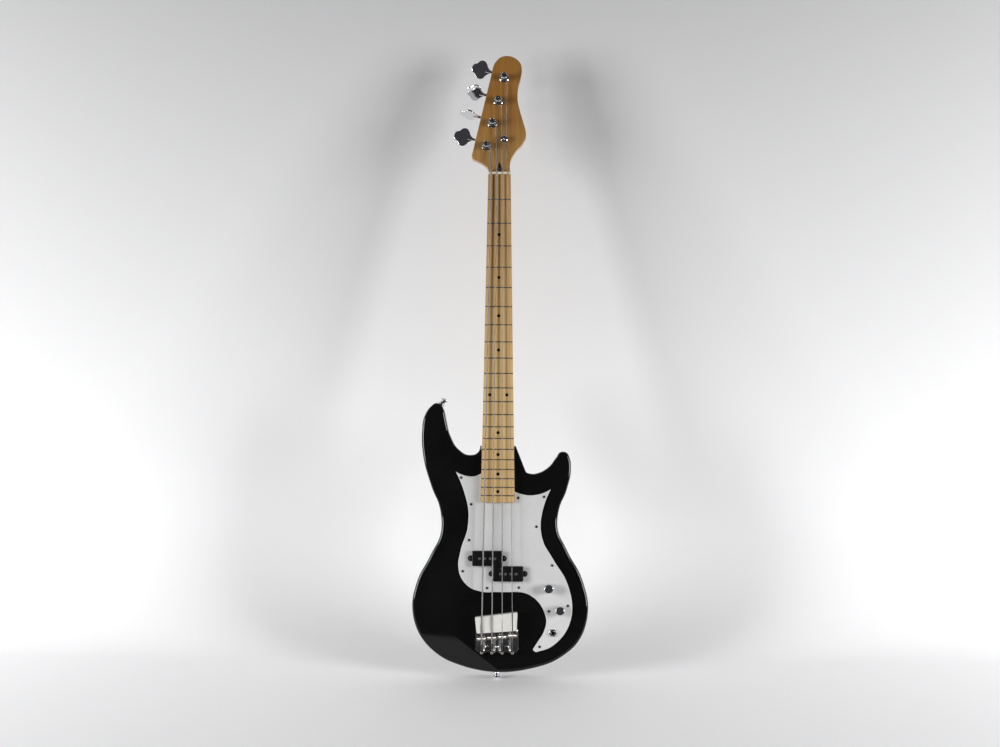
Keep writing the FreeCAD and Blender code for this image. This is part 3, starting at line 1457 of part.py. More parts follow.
def make_tuner_plates():
    plates, screws, bushings = [], [], []
    thick = dim.tuner_plate_thickness
    length = dim.tuner_plate_inner + dim.tuner_plate_outer
    middle = (dim.tuner_plate_outer - dim.tuner_plate_inner) / 2
    plate = flat_block((middle, 0), length, 2 * dim.tuner_plate_half_width, 5, -thick, 0)
    centre_y = -worm_offset()
    inner = dim.worm_length / 2 + dim.worm_end_play
    half = dim.key_shaft_radius + dim.worm_ear_wall
    for side in (-1, 1):
        x = inner if side > 0 else -inner - dim.worm_ear_thickness
        low = -dim.worm_drop
        ear = Part.makeBox(dim.worm_ear_thickness, 2 * half, dim.worm_drop - thick,
                           Vector(x, centre_y - half, low))
        ear = ear.fuse(drilled(half, Vector(x, centre_y, low), Vector(1, 0, 0), dim.worm_ear_thickness))
        plate = plate.fuse(ear)
    shaft = dim.key_shaft_radius + dim.post_clearance
    plate = plate.removeSplitter().cut(
        [
            drilled(shaft, Vector(-20, centre_y, -dim.worm_drop), Vector(1, 0, 0), 40),
            drilled(dim.post_radius + dim.post_plate_gap, Vector(0, 0, -5), Vector(0, 0, 1), 10),
        ]
        + [
            drilled(dim.tuner_screw_radius + dim.screw_clearance, Vector(x, y, -5), Vector(0, 0, 1), 10)
            for x, y in tuner_screw_places()
        ]
    )
    flange = dim.bushing_flange_radius
    rise = dim.bushing_flange_thickness
    bore = dim.post_radius + dim.post_clearance
    head = dim.head_thickness
    bushing = turned(
        [
            (bore, 1), (dim.bushing_radius, 1), (dim.bushing_radius, head), (flange, head),
            (flange, head + rise * 0.5), (flange - 1.2, head + rise), (bore, head + rise),
        ],
        Vector(0, 0, 0), Vector(0, 0, 1),
    )
    for name in STRING_NAMES:
        plates.append(place_tuner(plate, name))
        bushings.append(place_tuner(bushing, name))
        for x, y in tuner_screw_places():
            screw = pan_screw(
                dim.tuner_screw_radius, dim.tuner_screw_length, Vector(x, y, -thick), Vector(0, 0, 1)
            )
            screws.append(place_tuner(screw, name))
    shape_part("tuner_plates", Part.makeCompound(plates))
    shape_part("tuner_screws", Part.makeCompound(screws))
    shape_part("tuner_bushings", Part.makeCompound(bushings))


def gear_radius():
    return dim.gear_module * dim.gear_teeth / 2


def worm_offset():
    """Distance between the post's axis and the key shaft's axis."""
    return gear_radius() + dim.worm_radius


def tuner_gear():
    """Gear under the headstock; a gap between two teeth faces the worm."""
    teeth = int(dim.gear_teeth)
    root = gear_radius() - dim.gear_dedendum
    tip = gear_radius() + dim.gear_addendum
    pitch_width = dim.gear_module * pi * 0.37
    root_half = (pitch_width / 2 + dim.gear_dedendum * 0.3) / root
    tip_half = (pitch_width / 2 - dim.gear_addendum * 0.3) / tip
    points = []
    for tooth in range(teeth):
        middle = -pi / 2 + (tooth + 0.5) * 2 * pi / teeth
        for radius, offset in (
            (root, -root_half), (tip, -tip_half), (tip, tip_half), (root, root_half)
        ):
            points.append((radius * cos(middle + offset), radius * sin(middle + offset)))
    low = -dim.worm_drop - dim.gear_thickness / 2
    return prism(points, low, low + dim.gear_thickness)


def tuner_post():
    """String post with its slot, the thrust collar and the gear at its foot."""
    head = dim.head_thickness
    flange = head + dim.bushing_flange_thickness
    top = head + dim.post_rise
    radius = dim.post_radius
    gear_top = -dim.worm_drop + dim.gear_thickness / 2
    gear_low = gear_top - dim.gear_thickness
    profile = [
        (0, gear_low - 2.2), (2.4, gear_low - 2.2), (3.0, gear_low - 1.4), (3.0, gear_low),
        (6.0, gear_low), (6.0, gear_top), (radius + 0.9, gear_top),
        (radius + 0.9, -dim.tuner_plate_thickness - 0.1), (radius, -dim.tuner_plate_thickness - 0.1),
        (radius, flange + 10), (radius + 0.8, top - 3), (radius + 0.8, top - 1), (radius, top), (0, top),
    ]
    post = turned(profile, Vector(0, 0, 0), Vector(0, 0, 1)).fuse(tuner_gear()).removeSplitter()
    depth = dim.post_slot_depth
    width = dim.post_slot_width
    slot = Part.makeBox(40, width, depth + 1, Vector(-20, -width / 2, top - depth))
    hole = drilled(width / 2, Vector(0, 0, top - depth - 8), Vector(0, 0, 1), 10)
    return post.cut([slot, hole])


def worm_thread():
    """Single-start thread on the key shaft, along x with its middle facing the gear."""
    lead = dim.gear_module * pi
    root = dim.worm_radius - dim.gear_dedendum + 0.1
    tip = dim.worm_radius + dim.gear_addendum
    half_pitch_width = lead * 0.37 / 2
    root_half = half_pitch_width + (dim.worm_radius - root) * 0.3
    tip_half = half_pitch_width - dim.gear_addendum * 0.3
    turns = int(dim.worm_length / lead - 0.6)
    height = turns * lead
    helix = Part.makeHelix(lead, height, root)
    inner = root - 0.4
    section = [(inner, -root_half), (tip, -tip_half), (tip, tip_half), (inner, root_half)]
    profile = Part.makePolygon([Vector(r, 0, z) for r, z in section + section[:1]])
    thread = Part.Wire(helix).makePipeShell([profile], True, True)
    start_phase = 0.5 * (turns % 2) * 360
    thread.translate(Vector(0, 0, -height / 2))
    thread.rotate(Vector(0, 0, 0), Vector(0, 0, 1), start_phase)
    return thread, root


def tuner_key(turn):
    """Key shaft with its worm and a clover-shaped key, along the local x axis."""
    thread, root = worm_thread()
    shaft = dim.key_shaft_radius
    half = dim.worm_length / 2
    ear = half + dim.worm_end_play + dim.worm_ear_thickness
    start = dim.key_start
    profile = [
        (0, -ear - 1.6), (shaft + 1.0, -ear - 1.6), (shaft + 1.0, -ear - 0.3), (shaft, -ear - 0.3),
        (shaft, -half), (root, -half), (root, half), (shaft, half), (shaft, ear + 0.3),
        (shaft + 1.3, ear + 0.3), (shaft + 1.3, ear + 2.0), (shaft + 0.3, ear + 3.0),
        (shaft + 0.3, start - 12), (shaft + 1.2, start - 11), (shaft + 1.2, start + 3), (0, start + 3),
    ]
    spindle = turned(profile, Vector(0, 0, 0), Vector(0, 0, 1)).fuse(thread)
    leaf = clover_leaf()
    leaf.rotate(Vector(0, 0, 0), Vector(0, 0, 1), turn)
    whole = spindle.fuse(leaf).removeSplitter()
    turn_to_gear = Rotation(Vector(0, 0, 1), 90)
    whole.Placement = Placement(
        Vector(0, -worm_offset(), -dim.worm_drop),
        Rotation(Vector(0, 1, 0), 90).multiply(turn_to_gear),
    ).multiply(whole.Placement)
    return whole


def clover_leaf():
    """Three-lobed key with a tapered root, flat on the plane of y and z with z along the shaft."""
    half = dim.key_width / 2
    thick = dim.key_thickness
    right = [Vector(-thick / 2, y * half, dim.key_start + z * dim.key_length) for y, z in KEY_OUTLINE]
    left = [Vector(p.x, -p.y, p.z) for p in reversed(right[:-1])]
    edges = edges_of(arc_chain(right + left))
    edges.append(Part.makeLine(left[-1], right[0]))
    leaf = Part.Face(Part.Wire(edges)).extrude(Vector(thick, 0, 0))
    rim = []
    for edge in leaf.Edges:
        middle = edge.valueAt((edge.FirstParameter + edge.LastParameter) / 2)
        on_face = abs(abs(middle.x) - thick / 2) < 1e-6
        if on_face and edge.Curve.TypeId == "Part::GeomCircle":
            rim.append(edge)
    return leaf.makeFillet(dim.key_edge_radius, rim)


def make_tuners():
    post = tuner_post()
    for name in STRING_NAMES:
        key = tuner_key(getattr(dim, "key_turn_" + name))
        shape_part(f"tuner_key_{name}", place_tuner(key, name))
        shape_part(f"tuner_post_{name}", place_tuner(post, name))


def make_string_tree():
    """Round retainer that holds two strings down, with its spacer and screw."""
    base = Vector(TREE_AT[0], nut_y + TREE_AT[1], head_face)
    radius = dim.tree_radius
    rise = dim.tree_rise
    top = rise + dim.tree_thickness
    bore = dim.tuner_screw_radius + dim.screw_clearance
    tree = turned(
        [
            (bore, 0), (dim.tree_spacer_radius, 0), (dim.tree_spacer_radius, rise),
            (radius - 0.6, rise), (radius, rise + 0.6), (radius, top - 0.8), (radius - 1.0, top),
            (bore, top),
        ],
        base, Vector(0, 0, 1),
    )
    screw = pan_screw(dim.tuner_screw_radius, top + 8, base + Vector(0, 0, top), Vector(0, 0, -1))
    shape_part("string_tree", Part.makeCompound([tree, screw]))


def make_controls():
    pots, nuts = [], []
    bore = dim.pot_shaft_radius + dim.post_clearance
    for name, place in (("volume", VOLUME_AT), ("tone", TONE_AT)):
        seat = Vector(*place, face)
        bushing_top = dim.pickguard_thickness + dim.pot_bushing_rise
        pot = turned(
            [
                (bore, 4 - dim.pot_height), (bore, bushing_top), (dim.pot_bushing_radius, bushing_top),
                (dim.pot_bushing_radius, 0), (dim.pot_radius, 0), (dim.pot_radius, -dim.pot_height),
                (0, -dim.pot_height), (0, 4 - dim.pot_height),
            ],
            seat, Vector(0, 0, 1),
        )
        pots.append(pot)
        low = guard_top
        nut = hexagon(place, dim.control_nut_flats, low, low + dim.control_nut_thickness)
        hole = dim.pot_bushing_radius + dim.screw_clearance
        nuts.append(nut.cut(drilled(hole, seat, Vector(0, 0, 1), 20)))
        make_knob(name, place)
    sleeve = dim.jack_sleeve_radius + dim.screw_clearance
    nut = hexagon(JACK_AT, dim.jack_nut_flats, guard_top, guard_top + dim.control_nut_thickness)
    nuts.append(nut.cut(drilled(sleeve, Vector(*JACK_AT, face), Vector(0, 0, 1), 20)))
    shape_part("potentiometers", Part.makeCompound(pots))
    shape_part("control_nuts", Part.makeCompound(nuts))


def make_knob(name, place):
    """Knob turned in one piece with a hollow underside, on the shaft of its control."""
    shaft = doc.addObject("Part::Cylinder", f"{name}_shaft")
    shaft.setExpression("Radius", "Sizes.pot_shaft_radius")
    low = face + 4.1 - dim.pot_height
    high = guard_top + dim.pot_shaft_rise
    shaft.Height = high - low
    sub_part(shaft, f"{name}_shaft")
    shaft.Placement = STAND.multiply(Placement(Vector(*place, low), Rotation()))
    bottom = guard_top + dim.knob_gap
    top = bottom + dim.knob_height
    body = design_body(f"{name}_knob")
    profile = profile_on(body, f"{name}_knob_profile")
    inner = dim.pot_shaft_radius
    hollow = dim.control_nut_flats / sqrt(3) + 1.0
    roof = guard_top + dim.pot_bushing_rise + 1.0
    points = [
        (hollow, bottom), (dim.knob_radius, bottom), (dim.knob_radius, bottom + 1.5),
        (dim.knob_top_radius, top - 1.2), (dim.knob_top_radius - 1.2, top), (0, top), (0, high),
        (inner, high), (inner, roof), (hollow, roof),
    ]
    add_lines(profile, points)
    revolved(body, profile)
    body.Placement = STAND.multiply(Placement(Vector(*place, 0), Rotation()))


def make_jack():
    """Output socket: sleeve through the pickguard, flange under it and two side contacts."""
    seat = Vector(*JACK_AT, face)
    rise = dim.pickguard_thickness + dim.jack_sleeve_rise
    sleeve = turned(
        [
            (dim.jack_bore_radius, -dim.jack_sleeve_depth), (dim.jack_bore_radius, rise),
            (dim.jack_sleeve_radius, rise), (dim.jack_sleeve_radius, 0), (8.0, 0), (8.0, -2.0),
            (dim.jack_sleeve_radius, -2.0), (dim.jack_sleeve_radius, -dim.jack_sleeve_depth),
        ],
        seat, Vector(0, 0, 1),
    )
    for side in (-1, 1):
        strip = Part.makeBox(0.8, 5.0, 22.0, seat + Vector(side * 7.0 - 0.4, -2.5, -23.5))
        sleeve = sleeve.fuse(strip)
    shape_part("output_jack", sleeve.removeSplitter())


def make_wiring():
    """Capacitor and leads that join the pickups, the controls and the output socket."""
    floor = face - dim.pickup_cavity_depth + dim.wire_radius + 0.1
    well_floor = face - dim.control_cavity_depth
    pot_low = face - dim.pot_height - dim.wire_radius - dim.screw_clearance
    volume = Vector(*VOLUME_AT, pot_low)
    tone = Vector(*TONE_AT, pot_low)
    jack = Vector(*JACK_AT, pot_low)
    pickup = Vector(*TREBLE_PICKUP_AT, floor)
    lead = [pickup + Vector(2, 0, 0), pickup + Vector(30, -8, 0), volume + Vector(-14, 4, -3), volume]
    hot = [volume + Vector(6, -3, 0), volume + Vector(10, -18, -3), tone + Vector(-2, 4, 0)]
    out = [tone + Vector(-3, -6, 0), tone + Vector(-8, -20, -2), jack + Vector(-7, 3, -4)]
    wires = [tube(bent_run(points, 5.0), dim.wire_radius) for points in (lead, hot, out)]
    capacitor = Part.makeBox(8, 10, 4, Vector(tone.x - 11.4, tone.y + 9.2, well_floor + 0.05))
    shape_part("wiring_harness", Part.makeCompound(wires + [capacitor]))


def make_strap_buttons():
    pieces = []
    radius = dim.strap_button_radius
    waist = dim.strap_button_waist
    height = dim.strap_button_height
    bore = dim.strap_screw_radius + dim.screw_clearance
    for name, base, axis in strap_places():
        button = turned(
            [
                (bore, 0), (radius - 0.8, 0), (radius, 1.0), (waist, 4.0), (waist, height - 4.5),
                (radius, height - 2.0), (radius, height - 1.0), (radius - 1.5, height), (bore, height),
            ],
            base, axis,
        )
        length = dim.strap_screw_length + height - 1
        screw = pan_screw(dim.strap_screw_radius, length, base + axis * height, axis * -1)
        pieces += [button, screw]
    shape_part("strap_buttons", Part.makeCompound(pieces))


def build():
    make_body()
    make_neck()
    make_fretboard()
    make_nut()
    make_truss_rod()
    make_neck_plate()
    make_pickguard()
    make_pickguard_screws()
    make_pickups()
    make_bridge_plate()
    make_saddles()
    make_strings()
    make_mute()
    make_tuner_plates()
    make_tuners()
    make_string_tree()
    make_controls()
    make_jack()
    make_wiring()
    make_strap_buttons()


def check():
    """Every object must have recomputed and every piece must be a valid solid."""
    for obj in doc.Objects:
        if any(word in obj.State for word in ("Invalid", "Error")):
            raise RuntimeError(f"{obj.Label} failed")
    for obj in sub_parts:
        shape = obj.Shape
        if shape.isNull() or not shape.isValid() or not shape.Solids:
            raise RuntimeError(f"{obj.Label} has no valid solid")


build()
doc.recompute()
check()
os.makedirs("parts", exist_ok=True)
for obj in sub_parts:
    obj.Shape.exportStep(f"parts/{obj.Label}.step")
print(f"{len(sub_parts)} sub-parts written")
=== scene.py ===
# %% [markdown]
# # Electric bass guitar
# A bass guitar is mostly flat wood with a few kilos of bright hardware on it. The solids come
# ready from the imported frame. This lesson dresses them: lacquer, maple, chrome, wound strings,
# foam and screw heads. Everything is in metres, upright, with the front of the body towards -Y.

import json
from math import pi, radians

import bmesh
import bpy
import numpy as np
from mathutils import Matrix, Vector

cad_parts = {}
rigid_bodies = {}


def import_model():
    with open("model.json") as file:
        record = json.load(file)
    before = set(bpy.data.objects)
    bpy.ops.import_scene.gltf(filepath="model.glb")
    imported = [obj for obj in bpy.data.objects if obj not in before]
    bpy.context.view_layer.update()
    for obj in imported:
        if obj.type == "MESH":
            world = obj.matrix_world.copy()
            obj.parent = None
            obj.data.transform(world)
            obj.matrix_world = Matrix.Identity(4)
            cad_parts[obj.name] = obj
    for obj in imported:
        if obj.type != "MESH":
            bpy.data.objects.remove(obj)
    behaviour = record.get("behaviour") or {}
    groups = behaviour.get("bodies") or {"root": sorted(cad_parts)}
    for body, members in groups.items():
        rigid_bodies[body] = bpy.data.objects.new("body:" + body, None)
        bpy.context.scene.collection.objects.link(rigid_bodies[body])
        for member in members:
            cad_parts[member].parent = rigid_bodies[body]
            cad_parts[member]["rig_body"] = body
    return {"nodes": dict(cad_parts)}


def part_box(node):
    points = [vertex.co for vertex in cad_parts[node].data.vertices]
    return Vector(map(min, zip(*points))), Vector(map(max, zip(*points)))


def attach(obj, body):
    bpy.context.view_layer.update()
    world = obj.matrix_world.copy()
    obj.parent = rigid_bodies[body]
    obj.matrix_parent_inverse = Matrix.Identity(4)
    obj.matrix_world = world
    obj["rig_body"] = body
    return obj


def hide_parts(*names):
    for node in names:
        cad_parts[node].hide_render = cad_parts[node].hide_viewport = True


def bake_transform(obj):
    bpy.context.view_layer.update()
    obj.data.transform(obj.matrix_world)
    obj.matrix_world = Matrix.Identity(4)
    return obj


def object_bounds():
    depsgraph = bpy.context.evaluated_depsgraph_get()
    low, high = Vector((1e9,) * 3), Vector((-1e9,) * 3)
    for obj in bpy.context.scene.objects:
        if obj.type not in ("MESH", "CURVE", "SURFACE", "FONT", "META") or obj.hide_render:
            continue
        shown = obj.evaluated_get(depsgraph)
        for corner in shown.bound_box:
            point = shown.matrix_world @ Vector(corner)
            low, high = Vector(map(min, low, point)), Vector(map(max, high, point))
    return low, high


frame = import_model()
nodes = frame["nodes"]
cad_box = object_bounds()
scene = bpy.context.scene
MM = 0.001

# %% [markdown]
# ## Camera
# The frets of a known scale length give the camera: 1200 pixels of focal length on a picture
# 1000 pixels wide, two and a quarter metres in front of the tenth fret, looking up four degrees.
# A lens in millimetres follows from the sensor's width.

# %% Camera
PHOTO_WIDTH_PX = 1000
FOCAL_PX = 1200
SENSOR_WIDTH_MM = 36.0
CLIP_END = 40.0
AIM = (0.003, -0.031, 0.5536)
LOOK_UP = radians(4.22)
ROLL = radians(0.295)
DISTANCE = 2.248
camera_data = bpy.data.cameras.new("photo_camera")
camera_data.sensor_fit = "HORIZONTAL"
camera_data.sensor_width = SENSOR_WIDTH_MM
camera_data.lens = FOCAL_PX / PHOTO_WIDTH_PX * camera_data.sensor_width
camera_data.clip_end = CLIP_END
camera = bpy.data.objects.new("photo_camera", camera_data)
scene.collection.objects.link(camera)
look = Matrix.Rotation(pi / 2 + LOOK_UP, 4, "X") @ Matrix.Rotation(ROLL, 4, "Z")
camera.matrix_world = Matrix.Translation(AIM) @ look @ Matrix.Translation((0, 0, DISTANCE))
scene.camera = camera
print("camera at", [round(v, 3) for v in camera.matrix_world.translation])

# %% [markdown]
# ## Surfaces from arrays
# Every new piece is a grid: a function of two parameters gives one point for each pair. Faces of
# a grid join each point to its neighbours, and a parameter that runs round a circle closes on
# itself. The helpers below turn such arrays into a piece that rides on a body of the frame.


# %% Grid helpers
MERGE_GAP = 1e-6


def grid_faces(rows, columns, close_columns=True):
    """Quads between neighbouring grid points; closed columns join the last line to the first."""
    row = np.arange(rows - 1)
    column = np.arange(columns if close_columns else columns - 1)
    r, c = np.meshgrid(row, column, indexing="ij")
    r2, c2 = r + 1, (c + 1) % columns
    corners = [r * columns + c, r * columns + c2, r2 * columns + c2, r2 * columns + c]
    return np.stack(corners, axis=-1).reshape(-1, 4)


def make_mesh(name, points, faces):
    """Smooth mesh from an array of points and an array of quads."""
    mesh = bpy.data.meshes.new(name)
    mesh.from_pydata(points.reshape(-1, 3), [], faces)
    mesh.polygons.foreach_set("use_smooth", np.full(len(mesh.polygons), True))
    mesh.update()
    return mesh


def tidy_mesh(mesh):
    """Merge the points of closed poles and turn every face outwards."""
    work = bmesh.new()
    work.from_mesh(mesh)
    bmesh.ops.remove_doubles(work, verts=work.verts, dist=MERGE_GAP)
    bmesh.ops.dissolve_degenerate(work, edges=work.edges, dist=MERGE_GAP)
    bmesh.ops.recalc_face_normals(work, faces=work.faces)
    work.to_mesh(mesh)
    work.free()


def make_piece(name, mesh, body, finish):
    """Object that wears a finish and rides on a body of the frame. Given a tuple instead, it rides
    on no body, and its place is baked into its mesh."""
    piece = bpy.data.objects.new(name, mesh)
    scene.collection.objects.link(piece)
    mesh.materials.clear()
    mesh.materials.append(finish)
    if isinstance(body, tuple):
        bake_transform(piece)
    else:
        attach(piece, body)
    return piece


def stand(flat):
    """Flat points in millimetres (x, along the neck, height) to the upright frame in metres."""
    flat = np.asarray(flat, dtype=float)
    return np.stack([flat[..., 0], -flat[..., 2], flat[..., 1]], axis=-1) * MM


def along_axis(local, base, axis):
    """Points with their third number along an axis, moved to a base; all in millimetres."""
    turn = np.array(Vector((0, 0, 1)).rotation_difference(Vector(axis)).to_matrix())
    return local @ turn.T + np.asarray(base, dtype=float)


def lathe(profile, sides):
    """Profile rows of (radius, height) turned about the third axis: x = r cos a, y = r sin a."""
    profile = np.asarray(profile, dtype=float)
    angle = np.linspace(0, 2 * pi, sides, endpoint=False)
    radius, height = profile[:, :1], profile[:, 1:]
    return np.stack(
        [radius * np.cos(angle), radius * np.sin(angle), height + 0 * angle], axis=-1
    )


# %% [markdown]
# ## Node groups
# Wood figure and fine scratches are needed by several finishes. Each is built once as a node
# group with named sockets, and each material sets its own values.


# %% Group helpers
def new_group(name, inputs, outputs):
    """Shader node group; inputs hold (name, socket type, value), outputs (name, socket type)."""
    group = bpy.data.node_groups.new(name, "ShaderNodeTree")
    for title, kind, value in inputs:
        socket = group.interface.new_socket(title, in_out="INPUT", socket_type=kind)
        socket.default_value = value
    for title, kind in outputs:
        group.interface.new_socket(title, in_out="OUTPUT", socket_type=kind)
    entry = group.nodes.new("NodeGroupInput")
    leave = group.nodes.new("NodeGroupOutput")
    return group, entry, leave


def add_node(tree, kind, **values):
    """Node of a tree with its settings and plain input values."""
    node = tree.nodes.new(kind)
    for key, value in values.items():
        if hasattr(node, key):
            setattr(node, key, value)
        else:
            node.inputs[key.replace("_", " ")].default_value = value
    return node


def join(tree, start, end):
    """Link from an output socket to an input socket."""
    tree.links.new(start, end)


def scaled_coordinates(tree, scale, turn=(0.0, 0.0, 0.0)):
    """Object coordinates times a scale, for a pattern that stays on the piece."""
    place = add_node(tree, "ShaderNodeTexCoord")
    mapping = add_node(tree, "ShaderNodeMapping", Scale=scale, Rotation=turn)
    join(tree, place.outputs["Object"], mapping.inputs["Vector"])
    return mapping.outputs["Vector"]


def ramp(tree, source, stops):
    """Colour ramp with (place, grey) stops."""
    node = add_node(tree, "ShaderNodeValToRGB")
    elements = node.color_ramp.elements
    while len(elements) < len(stops):
        elements.new(0.5)
    for element, (place, grey) in zip(elements, stops):
        element.position = place
        element.color = (grey, grey, grey, 1)
    join(tree, source, node.inputs["Fac"])
    return node.outputs["Color"]


def math_node(tree, operation, first, second):
    """Result of an operation on two values, each a number or a socket."""
    node = add_node(tree, "ShaderNodeMath", operation=operation)
    for socket, value in zip(node.inputs, (first, second)):
        if isinstance(value, (int, float)):
            socket.default_value = value
        else:
            join(tree, value, socket)
    return node.outputs["Value"]


MIX_FACTOR, MIX_FIRST, MIX_SECOND, MIX_RESULT = 0, 6, 7, 2


def mix_colour(tree, factor, first, second):
    """Mix of two colours by a factor, each a value or a socket; the node has sockets for every kind
    of data, so the colour ones are picked by number."""
    node = add_node(tree, "ShaderNodeMix", data_type="RGBA")
    for number, value in ((MIX_FACTOR, factor), (MIX_FIRST, first), (MIX_SECOND, second)):
        if isinstance(value, (int, float, tuple)):
            node.inputs[number].default_value = value
        else:
            join(tree, value, node.inputs[number])
    return node.outputs[MIX_RESULT]


# %% Wood figure group
wood, wood_in, wood_out = new_group(
    "maple_figure",
    [
        ("Pale", "NodeSocketColor", (0.6, 0.4, 0.2, 1)),
        ("Dark", "NodeSocketColor", (0.4, 0.25, 0.1, 1)),
        ("Strength", "NodeSocketFloat", 1.0),
    ],
    [("Color", "NodeSocketColor"), ("Height", "NodeSocketFloat")],
)
broad = add_node(wood, "ShaderNodeTexNoise", Scale=1.0, Detail=5.0, Roughness=0.55, Distortion=0.6)
join(wood, scaled_coordinates(wood, (85.0, 85.0, 5.0)), broad.inputs["Vector"])
lines = add_node(wood, "ShaderNodeTexNoise", Scale=1.0, Detail=3.0, Roughness=0.5, Distortion=0.2)
join(wood, scaled_coordinates(wood, (420.0, 420.0, 7.0)), lines.inputs["Vector"])
pores = add_node(wood, "ShaderNodeTexNoise", Scale=1.0, Detail=2.0, Roughness=0.6)
join(wood, scaled_coordinates(wood, (2300.0, 2300.0, 90.0)), pores.inputs["Vector"])
broad_mask = ramp(wood, broad.outputs["Fac"], [(0.34, 0.0), (0.68, 1.0)])
line_mask = ramp(wood, lines.outputs["Fac"], [(0.42, 0.0), (0.66, 1.0)])
pore_mask = ramp(wood, pores.outputs["Fac"], [(0.58, 0.0), (0.72, 1.0)])
figure = math_node(wood, "MULTIPLY", broad_mask, 0.5)
figure = math_node(wood, "ADD", figure, math_node(wood, "MULTIPLY", line_mask, 0.4))
figure = math_node(wood, "ADD", figure, math_node(wood, "MULTIPLY", pore_mask, 0.25))
figure = math_node(wood, "MULTIPLY", figure, wood_in.outputs["Strength"])
wood_colour = mix_colour(wood, figure, wood_in.outputs["Pale"], wood_in.outputs["Dark"])
join(wood, wood_colour, wood_out.inputs["Color"])
join(wood, line_mask, wood_out.inputs["Height"])
print("wood group", wood.name)

# %% Scratches group
scuffs, scuff_in, scuff_out = new_group(
    "handling_marks",
    [("Amount", "NodeSocketFloat", 0.3), ("Base Roughness", "NodeSocketFloat", 0.1)],
    [("Roughness", "NodeSocketFloat"), ("Height", "NodeSocketFloat")],
)
hair = None
for angle in (0.35, 1.2, 2.4):
    strand = add_node(scuffs, "ShaderNodeTexNoise", Scale=1.0, Detail=1.0, Roughness=0.4)
    turned = scaled_coordinates(scuffs, (900.0, 900.0, 14.0), (0.0, angle, 0.0))
    join(scuffs, turned, strand.inputs["Vector"])
    thin = ramp(scuffs, strand.outputs["Fac"], [(0.70, 0.0), (0.74, 1.0)])
    hair = thin if hair is None else math_node(scuffs, "MAXIMUM", hair, thin)
haze = add_node(scuffs, "ShaderNodeTexNoise", Scale=1.0, Detail=4.0, Roughness=0.6)
join(scuffs, scaled_coordinates(scuffs, (22.0, 22.0, 22.0)), haze.inputs["Vector"])
hair_part = math_node(scuffs, "MULTIPLY", hair, 0.5)
haze_part = math_node(scuffs, "MULTIPLY", haze.outputs["Fac"], 0.5)
worn = math_node(scuffs, "ADD", hair_part, haze_part)
worn = math_node(scuffs, "MULTIPLY", worn, scuff_in.outputs["Amount"])
rough = math_node(scuffs, "ADD", worn, scuff_in.outputs["Base Roughness"])
join(scuffs, rough, scuff_out.inputs["Roughness"])
join(scuffs, hair, scuff_out.inputs["Height"])
print("groups", [g.name for g in bpy.data.node_groups])

# %% [markdown]
# ## Finishes
# Lacquer, plastic and chrome are all one shader with different values: colour, metal or not, and
# how rough. The groups above vary the roughness a little, because nothing that is handled stays
# perfectly even.


# %% Finish helper
MARK_RELIEF = 0.00005


def new_finish(name, colour, roughness, metallic=0.0, marks=0.15, bump=0.0):
    """Principled material with handling marks on its roughness and a slight relief."""
    material = bpy.data.materials.new(name)
    material.use_nodes = True
    tree = material.node_tree
    shader = tree.nodes["Principled BSDF"]
    shader.inputs["Base Color"].default_value = (*colour, 1)
    shader.inputs["Metallic"].default_value = metallic
    wear = add_node(tree, "ShaderNodeGroup", node_tree=scuffs)
    wear.inputs["Amount"].default_value = marks
    wear.inputs["Base Roughness"].default_value = roughness
    join(tree, wear.outputs["Roughness"], shader.inputs["Roughness"])
    if bump:
        relief = add_node(tree, "ShaderNodeBump", Strength=bump, Distance=MARK_RELIEF)
        join(tree, wear.outputs["Height"], relief.inputs["Height"])
        join(tree, relief.outputs["Normal"], shader.inputs["Normal"])
    return material


def varied_colour(material, first, second, scale, stops=((0.35, 0.0), (0.65, 1.0))):
    """Soft mottle between two near colours."""
    tree = material.node_tree
    noise = add_node(tree, "ShaderNodeTexNoise", Scale=1.0, Detail=4.0, Roughness=0.6)
    join(tree, scaled_coordinates(tree, scale), noise.inputs["Vector"])
    mask = ramp(tree, noise.outputs["Fac"], list(stops))
    shader = tree.nodes["Principled BSDF"]
    join(tree, mix_colour(tree, mask, (*first, 1), (*second, 1)), shader.inputs["Base Color"])


# %% Finishes
LACQUER_SHINE = 0.36
black_lacquer = new_finish("black_lacquer", (0.004, 0.004, 0.0045), 0.05, marks=0.06, bump=0.06)
varied_colour(black_lacquer, (0.003, 0.003, 0.003), (0.0055, 0.0055, 0.0055), (9.0, 9.0, 9.0))
lacquer_shader = black_lacquer.node_tree.nodes["Principled BSDF"]
lacquer_shader.inputs["Specular IOR Level"].default_value = LACQUER_SHINE
white_sheet = new_finish("white_pickguard", (0.72, 0.72, 0.715), 0.16, marks=0.25, bump=0.10)
varied_colour(white_sheet, (0.73, 0.73, 0.73), (0.685, 0.685, 0.675), (16.0, 16.0, 16.0))
chrome = new_finish("chrome_plate", (0.78, 0.78, 0.80), 0.04, metallic=1.0, marks=0.10)
worn_chrome = new_finish("worn_chrome", (0.44, 0.42, 0.385), 0.17, metallic=1.0, marks=0.22)
nickel = new_finish("nickel_winding", (0.20, 0.198, 0.195), 0.30, metallic=1.0, marks=0.15)
fret_metal = new_finish("fret_wire", (0.60, 0.55, 0.46), 0.18, metallic=1.0, marks=0.20)
dark_screw = new_finish("dark_screw", (0.055, 0.055, 0.06), 0.28, metallic=1.0, marks=0.25)
plain_steel = new_finish("plain_steel", (0.46, 0.46, 0.47), 0.30, metallic=1.0, marks=0.25)
varied_colour(plain_steel, (0.46, 0.46, 0.47), (0.36, 0.36, 0.365), (120.0, 120.0, 120.0))
ball_metal = new_finish("ball_metal", (0.26, 0.25, 0.235), 0.30, metallic=1.0, marks=0.25)
pole_steel = new_finish("pole_steel", (0.30, 0.30, 0.30), 0.38, metallic=1.0, marks=0.25)
